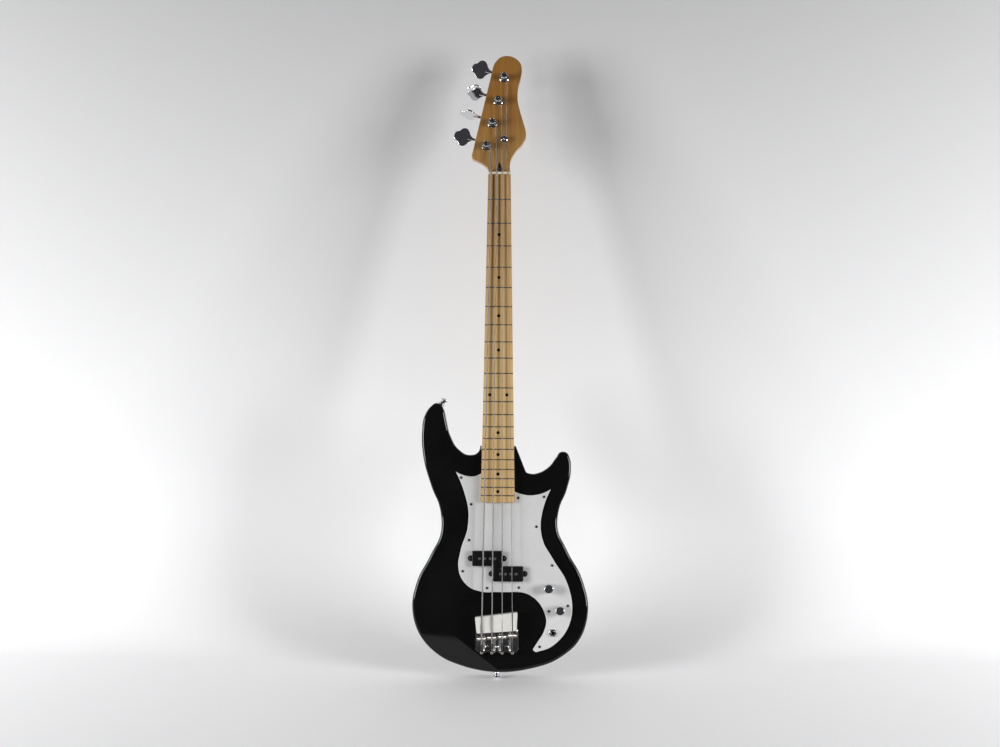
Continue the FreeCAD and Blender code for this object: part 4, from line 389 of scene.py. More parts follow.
black_moulding = new_finish("black_moulding", (0.007, 0.007, 0.007), 0.26, marks=0.2, bump=0.12)
black_inlay = new_finish("black_inlay", (0.008, 0.008, 0.008), 0.12, marks=0.15)
bone = new_finish("ivory_nut", (0.78, 0.71, 0.55), 0.28, marks=0.2, bump=0.1)
varied_colour(bone, (0.80, 0.74, 0.60), (0.70, 0.61, 0.44), (300.0, 300.0, 60.0))
wire_cover = new_finish("wire_cover", (0.02, 0.02, 0.02), 0.45, marks=0.2)
coil_wrap = new_finish("coil_wrap", (0.05, 0.025, 0.012), 0.5, marks=0.2)
print("finishes", len(bpy.data.materials))


# %% [markdown]
# ## Maple
# The fretboard and the neck are the same wood under the same clear lacquer, but age and the
# tinted finish make the headstock a darker amber. The wood group gives the figure, and a ramp
# along the neck moves from honey to amber.


# %% Maple
FIGURE_RELIEF = 0.00006
FIGURE_BUMP = 0.12
COAT_WEIGHT = 0.6
COAT_ROUGHNESS = 0.06


def height_ramp(tree, low, high):
    """Share of the way from height low to height high, in metres."""
    place = add_node(tree, "ShaderNodeTexCoord")
    axes = add_node(tree, "ShaderNodeSeparateXYZ")
    join(tree, place.outputs["Object"], axes.inputs["Vector"])
    share = add_node(tree, "ShaderNodeMapRange", From_Min=low, From_Max=high)
    join(tree, axes.outputs["Z"], share.inputs["Value"])
    return share.outputs["Result"]


def new_maple(name, honey, honey_dark, amber, amber_dark, low, high, roughness):
    """Maple with its colour running from honey at height low to amber at height high, in metres."""
    material = new_finish(name, honey, roughness, marks=0.12)
    tree = material.node_tree
    shader = tree.nodes["Principled BSDF"]
    figure_node = add_node(tree, "ShaderNodeGroup", node_tree=wood)
    factor = height_ramp(tree, low, high)
    pale = mix_colour(tree, factor, (*honey, 1), (*amber, 1))
    join(tree, pale, figure_node.inputs["Pale"])
    dark = mix_colour(tree, factor, (*honey_dark, 1), (*amber_dark, 1))
    join(tree, dark, figure_node.inputs["Dark"])
    join(tree, figure_node.outputs["Color"], shader.inputs["Base Color"])
    relief = add_node(tree, "ShaderNodeBump", Strength=FIGURE_BUMP, Distance=FIGURE_RELIEF)
    join(tree, figure_node.outputs["Height"], relief.inputs["Height"])
    join(tree, relief.outputs["Normal"], shader.inputs["Normal"])
    shader.inputs["Coat Weight"].default_value = COAT_WEIGHT
    shader.inputs["Coat Roughness"].default_value = COAT_ROUGHNESS
    return material


board_maple = new_maple(
    "maple_board", (0.80, 0.55, 0.25), (0.60, 0.37, 0.14), (0.60, 0.34, 0.12), (0.42, 0.215, 0.065),
    low=0.55, high=0.93, roughness=0.22,
)
neck_maple = new_maple(
    "maple_neck", (0.60, 0.37, 0.14), (0.43, 0.24, 0.08), (0.37, 0.175, 0.042), (0.25, 0.11, 0.024),
    low=0.82, high=1.08, roughness=0.20,
)
print("maple finishes", board_maple.name, neck_maple.name)

# %% [markdown]
# ## Dressing the solids
# Most solids already have the right shape. A copy of each gets its loose triangles merged, flat
# areas joined, a hair of bevel on its sharp edges, and normals weighted by area, so that large
# faces stay flat and edges catch the light as moulded or plated edges do.


# %% Dress helper
SHARP = radians(32)
FLAT = radians(0.4)
JOIN_GAP = 2e-6
FACE_WEIGHT = 60


def dress(node, finish, bevel_mm=0.0, segments=2, body=None, rings=()):
    """Merged and softly bevelled copy that stands for a node, cut across x at the given rings."""
    source = nodes[node]
    mesh = source.data.copy()
    mesh.name = node + "_dressed"
    if mesh.has_custom_normals:
        mesh.normals_split_custom_set([(0, 0, 0)] * len(mesh.loops))
    work = bmesh.new()
    work.from_mesh(mesh)
    bmesh.ops.remove_doubles(work, verts=work.verts, dist=JOIN_GAP)
    bmesh.ops.dissolve_limit(work, angle_limit=FLAT, verts=work.verts, edges=work.edges)
    for x in rings:
        everything = work.verts[:] + work.edges[:] + work.faces[:]
        bmesh.ops.bisect_plane(work, geom=everything, plane_co=(x, 0, 0), plane_no=(1, 0, 0))
    for edge in work.edges:
        edge.smooth = not edge.is_manifold or edge.calc_face_angle() < SHARP
    work.to_mesh(mesh)
    work.free()
    mesh.polygons.foreach_set("use_smooth", np.full(len(mesh.polygons), True))
    piece = make_piece(node + "_dressed", mesh, body or source["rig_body"], finish)
    if bevel_mm:
        bevel = piece.modifiers.new("soft_edges", "BEVEL")
        bevel.width = bevel_mm * MM
        bevel.segments = segments
        bevel.limit_method = "ANGLE"
        bevel.angle_limit = SHARP
        bevel.miter_outer = "MITER_ARC"
    weighted = piece.modifiers.new("flat_faces", "WEIGHTED_NORMAL")
    weighted.keep_sharp = True
    weighted.weight = FACE_WEIGHT
    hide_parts(node)
    return piece


# %% [markdown]
# ## Threaded saddles
# The saddles are cut from threaded rod, so a string can sit in any of the grooves. The copy is cut
# into narrow rings across the barrel, and the skin of each ring sinks by a cosine wave along it.

# %% Threaded saddles
THREAD_PITCH = 1.1 * MM
THREAD_DEPTH = 0.26 * MM
THREAD_END = 0.9 * MM
RINGS_PER_PITCH = 8
SKIN_TOLERANCE = 0.07 * MM
LEAST_RADIUS = 1e-9


def dress_saddle(node):
    """Saddle whose skin sinks by depth (1 + cos(2 pi x / pitch)) / 2, with x along the barrel."""
    low, high = (np.array(corner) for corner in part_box(node))
    reach = (high[0] - low[0]) / 2 - THREAD_END
    centre = (low + high) / 2
    count = 2 * int(reach / THREAD_PITCH * RINGS_PER_PITCH) + 1
    rings = np.linspace(centre[0] - reach, centre[0] + reach, count)
    piece = dress(node, worn_chrome, rings=rings)
    points = np.empty(3 * len(piece.data.vertices))
    piece.data.vertices.foreach_get("co", points)
    points = points.reshape(-1, 3)
    along = points[:, 0] - centre[0]
    out = (points - centre) * (0, 1, 1)
    radius = np.linalg.norm(out, axis=1)
    skin = (radius > (high[1] - low[1]) / 2 - SKIN_TOLERANCE) & (np.abs(along) < reach)
    sink = THREAD_DEPTH * (1 + np.cos(2 * pi * along / THREAD_PITCH)) / 2
    points[skin] -= (out / np.maximum(radius, LEAST_RADIUS)[:, None] * sink[:, None])[skin]
    piece.data.vertices.foreach_set("co", points.ravel())
    piece.data.update()
    print(node, count, "rings", int(skin.sum()), "points sunk")


# %% [markdown]
# ## One finish for each solid
# The outer solids get a dressed copy with a bevel to suit their size. The springs sit between
# the bridge plate and their saddles and ride on no body. Solids that are hidden inside only change
# their material.

# %% Dressed solids
STRING_NAMES = ["e", "a", "d", "g"]
dress("body", black_lacquer, 0.6, 3)
dress("neck", neck_maple)
dress("fretboard", board_maple, 0.25)
dress("frets", fret_metal)
dress("position_dots", black_inlay)
dress("string_nut", bone, 0.2)
dress("pickguard", white_sheet)
dress("pickup_covers", black_moulding, 0.5, 3)
dress("pickup_poles", pole_steel, 0.3)
dress("bridge_plate", worn_chrome, 0.5, 3)
dress("neck_plate", chrome, 0.4)
dress("tuner_plates", chrome, 0.3)
dress("tuner_bushings", chrome, 0.25)
dress("string_tree", chrome, 0.3)
dress("control_nuts", chrome, 0.3)
dress("output_jack", chrome, 0.2)
dress("strap_buttons", chrome, 0.3)
for name in STRING_NAMES:
    dress_saddle(f"saddle_{name}")
    dress(f"height_screws_{name}", plain_steel, 0.15)
    dress(f"intonation_screw_{name}", chrome, 0.15)
    spring = f"intonation_spring_{name}"
    rear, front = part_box(spring)
    between = ("instrument", f"saddle_{name}", (0, 0, rear[2]), (0, 0, front[2]))
    dress(spring, plain_steel, body=between)
    dress(f"tuner_post_{name}", chrome, 0.2)
    dress(f"tuner_key_{name}", chrome, 0.5, 3)
for node, finish in (
    ("truss_rod", plain_steel), ("truss_rod_nut", plain_steel), ("potentiometers", plain_steel),
    ("volume_shaft", plain_steel), ("tone_shaft", plain_steel), ("wiring_harness", wire_cover),
    ("pickup_coils", coil_wrap),
):
    nodes[node].data.materials.clear()
    nodes[node].data.materials.append(finish)

# %% [markdown]
# ## Wound strings
# A bass string is a steel core with a round wire wound tightly round it. The path is worked out
# as one array: ball end, saddle, nut, string tree and the turns on the post. A moving average
# rounds the bends. The surface is a tube whose radius rises and falls along a helix, so the
# winding is real relief.

# %% String values
NUT_Y = 932.6
SCALE = 863.6
CROWN = 30.9
HEAD_FACE = 23.4
FACE = 21.5
GUARD_TOP = 23.8
BOARD_RADIUS = 254.0
NUT_ACTION, ACTION_RISE = 1.7, 3.9
SADDLE_SPACING, NUT_SPACING = 19.0, 10.6
SADDLE_Y, SADDLE_STAGGER = 69.0, 2.0
PLATE_THICK = 2.0
BALL_RADIUS, BALL_LIFT = 2.9, 1.2
BALL_HEIGHT = FACE + PLATE_THICK + BALL_RADIUS + BALL_LIFT
BALL_Y, LIP_Y, LIP_REACH = 34.5, 38.0, 5.2
SADDLE_LEAD, NUT_LEAD = 9.3, 4.0
POST_RADIUS, POST_GAP = 5.0, 0.25
BUSHING_RISE, COIL_CLEAR = 2.0, 0.8
COIL_START, COIL_POINTS = 0.12, 60
TURN_GAP = 0.45
TAIL_SHARE, TAIL_DROP = 0.1, 6.0
BEND_REACH = 2.2
POSTS = {"e": (-25.3, 56.0), "a": (-14.2, 100.0), "d": (-3.2, 143.5), "g": (8.0, 188.5)}
STRING_RADIUS = {"e": 1.335, "a": 1.08, "d": 0.825, "g": 0.57}
WRAP_PITCH = {"e": 0.62, "a": 0.56, "d": 0.5, "g": 0.45}
WRAP_TURNS = {"e": 2, "a": 2, "d": 3, "g": 3}
WRAP_DEPTH = 0.22
RINGS_PER_WRAP = 4
STRING_SIDES, BALL_SIDES = 8, 24
TREE = (8.6, 68.6)
TREE_STEM, TREE_HEIGHT, TREE_CLEAR = 2.2, 5.5, 0.9
HEAD_SLANT = 14.4
SLOT_ANGLE = radians(-HEAD_SLANT)


def string_bottom(x, y):
    """Height of a string's underside: it rises from nut to saddle and follows the board's radius."""
    return CROWN + NUT_ACTION + ACTION_RISE * (NUT_Y - y) / SCALE - x * x / (2 * BOARD_RADIUS)


# %% String path
def string_line(name):
    """Saddle point and nut point of a string's straight stretch."""
    order = STRING_NAMES.index(name)
    radius = STRING_RADIUS[name]
    x_saddle, x_nut = (order - 1.5) * SADDLE_SPACING, (order - 1.5) * NUT_SPACING
    y_saddle = SADDLE_Y - SADDLE_STAGGER * (3 - order)
    saddle = np.array([x_saddle, y_saddle, string_bottom(x_saddle, y_saddle) + radius])
    nut = np.array([x_nut, NUT_Y, string_bottom(x_nut, NUT_Y) + radius])
    return saddle, nut


def coil_points(name, radius):
    """Turns on the post: angle a gives (cos a, sin a) times the reach, and the height climbs."""
    x, u = POSTS[name]
    turns = WRAP_TURNS[name]
    reach = POST_RADIUS + radius + POST_GAP
    pitch = 2 * radius + TURN_GAP
    low = HEAD_FACE + BUSHING_RISE + radius + COIL_CLEAR
    angle = np.linspace(COIL_START, SLOT_ANGLE + 2 * pi * turns, COIL_POINTS * turns)
    across, along = x + reach * np.cos(angle), NUT_Y + u + reach * np.sin(angle)
    return np.stack([across, along, low + pitch * angle / (2 * pi)], axis=-1)


def string_path(name, step):
    """Evenly spaced points along the whole string, with its bends rounded by a moving average."""
    radius = STRING_RADIUS[name]
    saddle, nut = string_line(name)
    way = (nut - saddle) / np.linalg.norm(nut - saddle)
    lip = np.array([saddle[0], LIP_Y, BALL_HEIGHT])
    corners = [lip, lip + [0, LIP_REACH, 0], saddle - way * SADDLE_LEAD, nut + way * NUT_LEAD]
    if name in ("d", "g"):
        side = -1 if name == "d" else 1
        beside = TREE[0] + side * (TREE_STEM + radius + TREE_CLEAR)
        under = HEAD_FACE + TREE_HEIGHT - radius - TREE_CLEAR
        corners.append(np.array([beside, NUT_Y + TREE[1], under]))
    coil = coil_points(name, radius)
    centre = np.array([POSTS[name][0], NUT_Y + POSTS[name][1], coil[-1, 2]])
    tail = [centre + (coil[-1] - centre) * TAIL_SHARE, centre - [0, 0, TAIL_DROP]]
    route = np.concatenate([np.array(corners), coil, np.array(tail)])
    length = np.concatenate([[0], np.cumsum(np.linalg.norm(np.diff(route, axis=0), axis=1))])
    even = np.arange(0, length[-1], step)
    path = np.stack([np.interp(even, length, route[:, k]) for k in range(3)], axis=-1)
    window = np.hanning(2 * int(BEND_REACH / step) + 1)[1:-1]
    window /= window.sum()
    edge = len(window) // 2
    padded = np.concatenate(
        [np.repeat(path[:1], edge, axis=0), path, np.repeat(path[-1:], edge, axis=0)]
    )
    return np.stack([np.convolve(padded[:, k], window, mode="valid") for k in range(3)], axis=-1)


# %% Strings
def wound_tube(path, radius, pitch, step):
    """Tube about a path: at distance s and angle a its radius dips by the winding's depth wherever
    s / pitch + a / 2 pi passes a whole number, which draws a helix."""
    ways = np.gradient(path, axis=0)
    ways /= np.linalg.norm(ways, axis=1, keepdims=True)
    front = np.array([0.0, 0.0, 1.0])
    across = np.cross(ways, front)
    across /= np.linalg.norm(across, axis=1, keepdims=True)
    out = np.cross(across, ways)
    angle = np.linspace(0, 2 * pi, STRING_SIDES, endpoint=False)
    phase = np.arange(len(path))[:, None] * step / pitch + angle / (2 * pi)
    ring = radius - WRAP_DEPTH * pitch * (1 - np.abs(np.sin(pi * phase)))
    ring[[0, -1]] = 0
    return (
        path[:, None, :]
        + (ring * np.cos(angle))[..., None] * across[:, None, :]
        + (ring * np.sin(angle))[..., None] * out[:, None, :]
    )


BALL_PROFILE = [(0.9, 0), (2.5, 0), (2.9, 0.5), (2.9, 4.9), (2.5, 5.4), (0.9, 5.4), (0.9, 0)]
for name in STRING_NAMES:
    step = WRAP_PITCH[name] / RINGS_PER_WRAP
    path = string_path(name, step)
    surface = wound_tube(path, STRING_RADIUS[name], WRAP_PITCH[name], step)
    mesh = make_mesh(f"wound_string_{name}", stand(surface), grid_faces(*surface.shape[:2]))
    tidy_mesh(mesh)
    string = make_piece(f"wound_string_{name}", mesh, "instrument", nickel)
    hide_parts(f"string_{name}")
    saddle, _ = string_line(name)
    ball = lathe(BALL_PROFILE, BALL_SIDES)
    ball = along_axis(ball, (saddle[0], BALL_Y, BALL_HEIGHT), (0, 1, 0))
    mesh = make_mesh(f"ball_end_{name}", stand(ball), grid_faces(*ball.shape[:2]))
    tidy_mesh(mesh)
    make_piece(f"ball_end_{name}", mesh, "instrument", ball_metal)
    print("string", name, len(path), "rings")

# %% [markdown]
# ## Foam mute
# A strip of white foam sits under the strings in front of the saddles. It is a block carried
# along the strings: each section is a rounded rectangle, the ends close with shrinking sections,
# and its top sinks under every string. Small open cells come from the material: a bump sinks each
# cell, and painted shade darkens its hollow.

# %% Foam finish
foam = new_finish("white_foam", (0.80, 0.79, 0.75), 0.85, marks=0.1)
foam_tree = foam.node_tree
cells = add_node(foam_tree, "ShaderNodeTexVoronoi", Scale=1.0)
join(foam_tree, scaled_coordinates(foam_tree, (900.0, 900.0, 900.0)), cells.inputs["Vector"])
cell_pit_and_shade_mask = ramp(foam_tree, cells.outputs["Distance"], [(0.0, 0.0), (0.55, 1.0)])
foam_shader = foam_tree.nodes["Principled BSDF"]
# Darker colour in each cell's hollow is painted shade; the same mask also sinks the cells by bump.
foam_colour_with_pit_shade = mix_colour(foam_tree, cell_pit_and_shade_mask, (0.56, 0.55, 0.51, 1), (0.80, 0.79, 0.75, 1))
join(foam_tree, foam_colour_with_pit_shade, foam_shader.inputs["Base Color"])
foam_bump = add_node(foam_tree, "ShaderNodeBump", Strength=0.6, Distance=0.0003)
join(foam_tree, cell_pit_and_shade_mask, foam_bump.inputs["Height"])
join(foam_tree, foam_bump.outputs["Normal"], foam_shader.inputs["Normal"])
print("foam finish", foam.name)

# %% Foam mute
MUTE_CORNERS = np.array([(-37.5, 73), (36, 78.3), (37.5, 112), (-41, 102.5)])
PLATE_FRONT = 82.0
MUTE_RISE = 1.2
MUTE_TOP = string_bottom(0, PLATE_FRONT) + MUTE_RISE
MUTE_ROWS, MUTE_COLUMNS = 90, 240
SQUARENESS = 0.10
FLOOR_GAP = 0.03
STEP_CLEAR, STEP_LENGTH = 1.2, 0.8
RIPPLE, RIPPLE_X, RIPPLE_Y = 0.35, 0.19, 0.23
CHANNEL_CLEAR, CHANNEL_SIDE = 0.15, 0.9


def mute_surface(rows, columns):
    """Sections of a rounded block: turn runs round a section, sweep along the strings, and the top
    dips by a bell curve under each string."""
    turn = np.linspace(0, 2 * pi, columns, endpoint=False)
    wide = np.sign(np.cos(turn)) * np.abs(np.cos(turn)) ** SQUARENESS
    tall = np.sign(np.sin(turn)) * np.abs(np.sin(turn)) ** SQUARENESS
    sweep = np.linspace(-pi / 2, pi / 2, rows)
    along = np.sign(np.sin(sweep)) * np.abs(np.sin(sweep)) ** SQUARENESS
    shrink = np.abs(np.cos(sweep)) ** SQUARENESS
    shrink[[0, -1]] = 0
    across = (0.5 + 0.5 * shrink[:, None] * wide)[..., None]
    forward = (0.5 + 0.5 * along)[:, None, None]
    near = MUTE_CORNERS[0] + (MUTE_CORNERS[1] - MUTE_CORNERS[0]) * across
    far = MUTE_CORNERS[3] + (MUTE_CORNERS[2] - MUTE_CORNERS[3]) * across
    place = near + (far - near) * forward
    x, y = place[..., 0], place[..., 1]
    lift = 0.5 + 0.5 * shrink[:, None] * tall
    on_plate = np.clip((PLATE_FRONT + STEP_CLEAR - y) / STEP_LENGTH, 0, 1)
    floor = FACE + FLOOR_GAP + PLATE_THICK * on_plate
    top = MUTE_TOP + RIPPLE * np.sin(x * RIPPLE_X) * np.sin(y * RIPPLE_Y)
    height = floor + (top - floor) * lift
    for name in STRING_NAMES:
        saddle, nut = string_line(name)
        share = (y - saddle[1]) / (nut[1] - saddle[1])
        line_x = saddle[0] + (nut[0] - saddle[0]) * share
        radius = STRING_RADIUS[name]
        line_low = saddle[2] + (nut[2] - saddle[2]) * share - radius - CHANNEL_CLEAR
        bell = np.exp(-(((x - line_x) / (radius + CHANNEL_SIDE)) ** 4))
        height -= np.clip(height - line_low, 0, None) * bell
    return np.stack([x, y, height], axis=-1)


surface = mute_surface(MUTE_ROWS, MUTE_COLUMNS)
mesh = make_mesh("foam_mute", stand(surface), grid_faces(*surface.shape[:2]))
tidy_mesh(mesh)
mute = make_piece("foam_mute", mesh, "instrument", foam)
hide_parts("string_mute")
print("foam top at", round(MUTE_TOP, 1), "mm")

# %% [markdown]
# ## Knobs
# The two control knobs are turned metal barrels with a knurled side and a slightly domed top. The
# knurl is a small wave in the radius round the side, faded out at the rim and the foot.

# %% Knobs
KNOBS = {"volume": (95.1, 154.5), "tone": (116.1, 114.3)}
KNURLS = 48
KNURL_DEPTH = 0.16
KNOB_SIDES = KNURLS * 6
KNOB_PROFILE = np.array([
    (6.9, 4.4, 0), (6.9, 0.4, 0), (8.6, 0.4, 0), (8.95, 0.7, 0), (8.95, 2.2, 0), (8.6, 2.5, 0),
    (8.6, 2.9, 0), (8.85, 3.2, 0.3), (8.8, 3.6, 1), (8.5, 11.6, 1), (8.45, 12.0, 0.3),
    (8.2, 12.4, 0), (8.2, 12.8, 0), (8.3, 13.1, 0), (8.2, 13.6, 0), (7.6, 14.0, 0),
    (6.0, 14.22, 0), (3.5, 14.34, 0), (0, 14.4, 0),
])
BORE_PROFILE = [(6.9, 4.4), (3.05, 4.4), (3.05, 8.0), (0, 8.0)]


def knob_surface():
    """Rows of (radius, height, knurl share); the radius waves by the knurl share round the side."""
    angle = np.linspace(0, 2 * pi, KNOB_SIDES, endpoint=False)
    wave = KNURL_DEPTH * np.abs(np.sin(KNURLS * angle / 2))
    radius = KNOB_PROFILE[:, :1] - KNOB_PROFILE[:, 2:] * (KNURL_DEPTH - wave)
    height = KNOB_PROFILE[:, 1:2] + 0 * angle
    return np.stack([radius * np.cos(angle), radius * np.sin(angle), height], axis=-1)


for name, place in KNOBS.items():
    surface = along_axis(knob_surface(), (*place, GUARD_TOP), (0, 0, 1))
    faces = grid_faces(*surface.shape[:2])
    roof = lathe(BORE_PROFILE, KNOB_SIDES)
    roof = along_axis(roof, (*place, GUARD_TOP), (0, 0, 1))
    roof_faces = grid_faces(*roof.shape[:2]) + surface.shape[0] * surface.shape[1]
    points = np.concatenate([stand(surface).reshape(-1, 3), stand(roof).reshape(-1, 3)])
    mesh = make_mesh(f"{name}_knob_turned", points, np.concatenate([faces, roof_faces]))
    tidy_mesh(mesh)
    knob = make_piece(f"{name}_knob_turned", mesh, f"{name}_control", chrome)
    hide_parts(f"{name}_knob")
    print("knob", name, len(mesh.polygons), "faces")

# %% [markdown]
# ## Screw heads
# Domed heads with a cross recess hold the pickguard, pickups, bridge, machines and neck plate. A
# head is a polar grid: its height is a dome, less the recess where the grid point falls inside
# either arm of the cross.


# %% Screw heads
HEAD_SHARE, RISE_SHARE = 1.9, 1.1
RIM_SHARE, DOME_POWER = 0.25, 2.4
CROSS_WIDTH, CROSS_FLANK = 0.17, 0.05
CROSS_REACH, CROSS_END = 0.62, 0.12
CROSS_DEPTH = 0.75
SCREW_RINGS, SCREW_SIDES = 22, 64
FIRST_TURN, NEXT_TURN = 0.2, 0.7


def screw_surface(radius, length, turn):
    """Dome z = rise (rim + (1 - rim) (1 - (r / head)^power)) with a tapered cross cut into it, then
    the underside of the head and the shank."""
    head, rise = radius * HEAD_SHARE, radius * RISE_SHARE
    share = np.linspace(0, 1, SCREW_RINGS)[:, None]
    angle = np.linspace(0, 2 * pi, SCREW_SIDES, endpoint=False)
    r = head * share
    x, y = r * np.cos(angle), r * np.sin(angle)
    dome = rise * (RIM_SHARE + (1 - RIM_SHARE) * (1 - share ** DOME_POWER)) + 0 * angle
    arm = np.minimum(np.abs(x), np.abs(y))
    reach = np.maximum(np.abs(x), np.abs(y))
    inside = np.clip((CROSS_WIDTH * head - arm) / (CROSS_FLANK * head), 0, 1)
    inside *= np.clip((CROSS_REACH * head - reach) / (CROSS_END * head), 0, 1)
    height = dome - inside * rise * CROSS_DEPTH
    cap = np.stack([x, y, height], axis=-1)
    shank = [(head, 0.0), (radius, 0.0), (radius, -length + radius), (0.0, -length)]
    surface = np.concatenate([cap, lathe(shank, SCREW_SIDES)])
    c, s = np.cos(turn), np.sin(turn)
    return surface @ np.array([[c, s, 0], [-s, c, 0], [0, 0, 1]])


def screw_set(name, replaced, finish, radius, length, places, axis):
    """All screws of one kind in one mesh; each is turned a little differently."""
    points, faces, start = [], [], 0
    for number, place in enumerate(places):
        turned = screw_surface(radius, length, NEXT_TURN * number + FIRST_TURN)
        surface = along_axis(turned, place, axis)
        faces.append(grid_faces(*surface.shape[:2]) + start)
        points.append(stand(surface).reshape(-1, 3))
        start += len(points[-1])
    mesh = make_mesh(name, np.concatenate(points), np.concatenate(faces))
    tidy_mesh(mesh)
    piece = make_piece(name, mesh, "instrument", finish)
    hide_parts(replaced)
    print(name, len(places), "screws")


FORWARD, BACKWARD = (0, 0, 1), (0, 0, -1)
EAR_THICK, NECK_PLATE_THICK = 1.2, 2.0
HEAD_THICK, TUNER_PLATE_THICK = 14.5, 1.5
PICKGUARD_SCREWS = [
    (-68.6, 358.8), (-49.5, 309.4), (-53, 243), (-64.3, 185.6), (-19, 155), (40, 156),
    (95.6, 112.8), (78.8, 48), (131, 123), (101.7, 197), (72.3, 268.4), (86.4, 323.8), (38.4, 321.8),
]
BRIDGE_SCREWS = [(-19, 47.5), (0, 47.5), (19, 47.5), (-35, 77), (35, 77)]
PICKUPS = [(-18.8, 209.5), (20.0, 181.3)]
COVER_LENGTH, EAR_HOLE = 55.5, 3.0
EAR_REACH = COVER_LENGTH / 2 + EAR_HOLE
EARS = [(x + side * EAR_REACH, y) for x, y in PICKUPS for side in (-1, 1)]
NECK_PLATE_Y, NECK_SCREW_X, NECK_SCREW_Y = 365.78, 18.0, 24.5
NECK_SCREWS = [
    (sx * NECK_SCREW_X, NECK_PLATE_Y + sy * NECK_SCREW_Y) for sx in (-1, 1) for sy in (-1, 1)
]
screw_set(
    "pickguard_screw_heads", "pickguard_screws", dark_screw, 1.3, 10.9,
    [(x, y, GUARD_TOP) for x, y in PICKGUARD_SCREWS], FORWARD,
)
screw_set(
    "bridge_screw_heads", "bridge_screws", chrome, 1.6, 23.0,
    [(x, y, FACE + PLATE_THICK) for x, y in BRIDGE_SCREWS], FORWARD,
)
screw_set(
    "pickup_screw_heads", "pickup_screws", dark_screw, 1.4, 30.0,
    [(x, y, GUARD_TOP + EAR_THICK) for x, y in EARS], FORWARD,
)
screw_set(
    "neck_screw_heads", "neck_screws", chrome, 2.1, 40.0,
    [(x, y, -FACE - NECK_PLATE_THICK) for x, y in NECK_SCREWS], BACKWARD,
)
TUNER_ANGLE = radians(180 - HEAD_SLANT)
PLATE_CORNERS = np.array([(-15.0, -13.5), (-15.0, 13.5), (19.5, -13.5), (19.5, 13.5)])
tuner_cos, tuner_sin = np.cos(TUNER_ANGLE), np.sin(TUNER_ANGLE)
tuner_turn = np.array([[tuner_cos, tuner_sin], [-tuner_sin, tuner_cos]])
TUNER_SCREWS = [
    (x + dx, NUT_Y + u + dy, HEAD_FACE - HEAD_THICK - TUNER_PLATE_THICK)
    for x, u in POSTS.values()
    for dx, dy in PLATE_CORNERS @ tuner_turn
]
screw_set("tuner_screw_heads", "tuner_screws", chrome, 1.1, 8.5, TUNER_SCREWS, BACKWARD)

# %% [markdown]
# ## Floor, backdrop and light
# The instrument leans back by twelve degrees with its end on the floor and its head near the wall.
# It keeps the frame's upright axes here, so the sheet of paper leans instead: floor, cove and wall
# are turned together about the x axis. The paper's colour darkens towards the top of the wall:
# painted shade. Two tall softboxes stand far out at the sides. They draw
# the long highlights along the rounded edges, and the room in front stays dark, which keeps the
# black face deep and the tops of the chrome pieces dark. From behind, the camera sees through the
# paper, and the room is pale to the camera alone, so the back can be looked at too.

# %% Floor and backdrop
LEAN = radians(12)
FLOOR_Z = cad_box[0][2] - 0.5 * MM
WALL_Y = 0.31
WALL_LENGTH = 3.5
COVE = 0.22
FLOOR_FRONT = -0.34
SHEET_REACH = 2.2
# Paper colour runs from pale at the floor to dim at the top of the wall: painted shade standing in
# for the light falling off upwards.
PAPER_PALE, PAPER_PAINTED_SHADE = (0.93, 0.93, 0.935, 1), (0.50, 0.50, 0.505, 1)
PAINTED_SHADE_LOW, PAINTED_SHADE_HIGH = 0.35, 1.75


def backdrop_surface(columns, rows):
    """Sheet across x: flat floor, quarter circle of the cove, then the wall, all leaning."""
    bend = np.linspace(0, pi / 2, rows)
    y = np.concatenate([[FLOOR_FRONT], WALL_Y - COVE + COVE * np.sin(bend), [WALL_Y]])
    z = np.concatenate([[0.0], COVE - COVE * np.cos(bend), [WALL_LENGTH]])
    x = np.linspace(-SHEET_REACH, SHEET_REACH, columns)
    across = x[None, :] + 0 * y[:, None]
    forward = (y * np.cos(LEAN) - z * np.sin(LEAN))[:, None] + 0 * across
    upward = (y * np.sin(LEAN) + z * np.cos(LEAN))[:, None] + FLOOR_Z + 0 * across
    return np.stack([across, forward, upward], axis=-1)


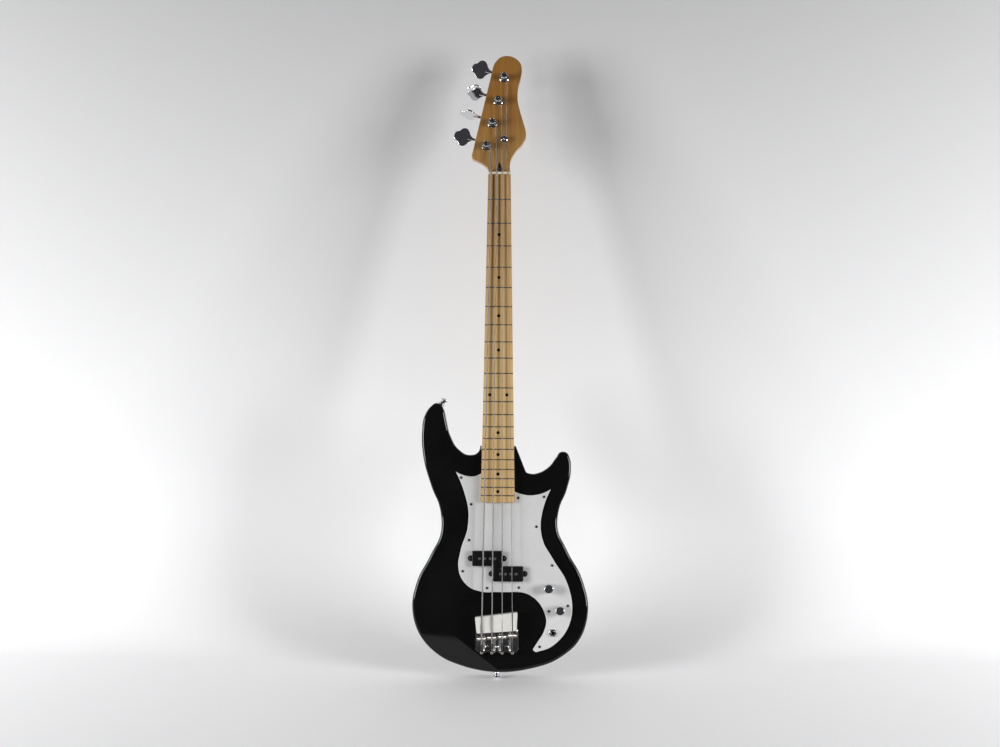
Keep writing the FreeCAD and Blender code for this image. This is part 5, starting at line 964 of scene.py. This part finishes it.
surface = backdrop_surface(3, 40)
mesh = make_mesh("backdrop", surface, grid_faces(*surface.shape[:2], close_columns=False))
paper = new_finish("backdrop_paper", (0.80, 0.80, 0.805), 0.75, marks=0.05)
paper_tree = paper.node_tree
# Painted shade: the paper's colour darkens with height.
painted_shade_share = height_ramp(paper_tree, PAINTED_SHADE_LOW, PAINTED_SHADE_HIGH)
paper_colour_with_painted_shade = mix_colour(paper_tree, painted_shade_share, PAPER_PALE, PAPER_PAINTED_SHADE)
paper_shader = paper_tree.nodes["Principled BSDF"]
join(paper_tree, paper_colour_with_painted_shade, paper_shader.inputs["Base Color"])
paper_side = add_node(paper_tree, "ShaderNodeNewGeometry")
paper_ray = add_node(paper_tree, "ShaderNodeLightPath")
paper_hidden = math_node(
    paper_tree, "MULTIPLY", paper_side.outputs["Backfacing"], paper_ray.outputs["Is Camera Ray"]
)
paper_mix = add_node(paper_tree, "ShaderNodeMixShader")
join(paper_tree, paper_hidden, paper_mix.inputs["Fac"])
join(paper_tree, paper_shader.outputs["BSDF"], paper_mix.inputs[1])
paper_clear = add_node(paper_tree, "ShaderNodeBsdfTransparent")
join(paper_tree, paper_clear.outputs["BSDF"], paper_mix.inputs[2])
paper_end = paper_tree.nodes["Material Output"]
join(paper_tree, paper_mix.outputs["Shader"], paper_end.inputs["Surface"])
mesh.materials.append(paper)
backdrop = bpy.data.objects.new("backdrop", mesh)
scene.collection.objects.link(backdrop)
print("backdrop", len(mesh.polygons), "faces")


# %% Lamps and world
LAMP_PLACE = (3.0, -1.5, 0.62)
LAMP_TARGET = (0.3, 0.1, 0.35)
LAMP_SIZE = (1.0, 1.6)
LAMP_SPREAD = radians(130)
ROOM_DARK, ROOM_PALE = (0.045, 0.047, 0.05, 1), (0.90, 0.90, 0.90, 1)


def soft_lamp(name, side, power):
    """Large area lamp at one side, -1 or 1, that faces the wall behind the instrument."""
    mirror = Vector((side, 1, 1))
    place, target = Vector(LAMP_PLACE) * mirror, Vector(LAMP_TARGET) * mirror
    data = bpy.data.lights.new(name, "AREA")
    data.shape = "RECTANGLE"
    data.size, data.size_y = LAMP_SIZE
    data.energy = power
    data.spread = LAMP_SPREAD
    lamp = bpy.data.objects.new(name, data)
    lamp.location = place
    lamp.rotation_euler = (target - place).to_track_quat("-Z", "Y").to_euler()
    scene.collection.objects.link(lamp)


soft_lamp("left_softbox", -1, 51)
soft_lamp("right_softbox", 1, 49.5)
world = bpy.data.worlds.new("dim_room")
world.use_nodes = True
world_ray = add_node(world.node_tree, "ShaderNodeLightPath")
to_camera = world_ray.outputs["Is Camera Ray"]
world_colour = mix_colour(world.node_tree, to_camera, ROOM_DARK, ROOM_PALE)
join(world.node_tree, world_colour, world.node_tree.nodes["Background"].inputs["Color"])
scene.world = world
scene.view_settings.view_transform = "Standard"
print("lamps", len(bpy.data.lights))
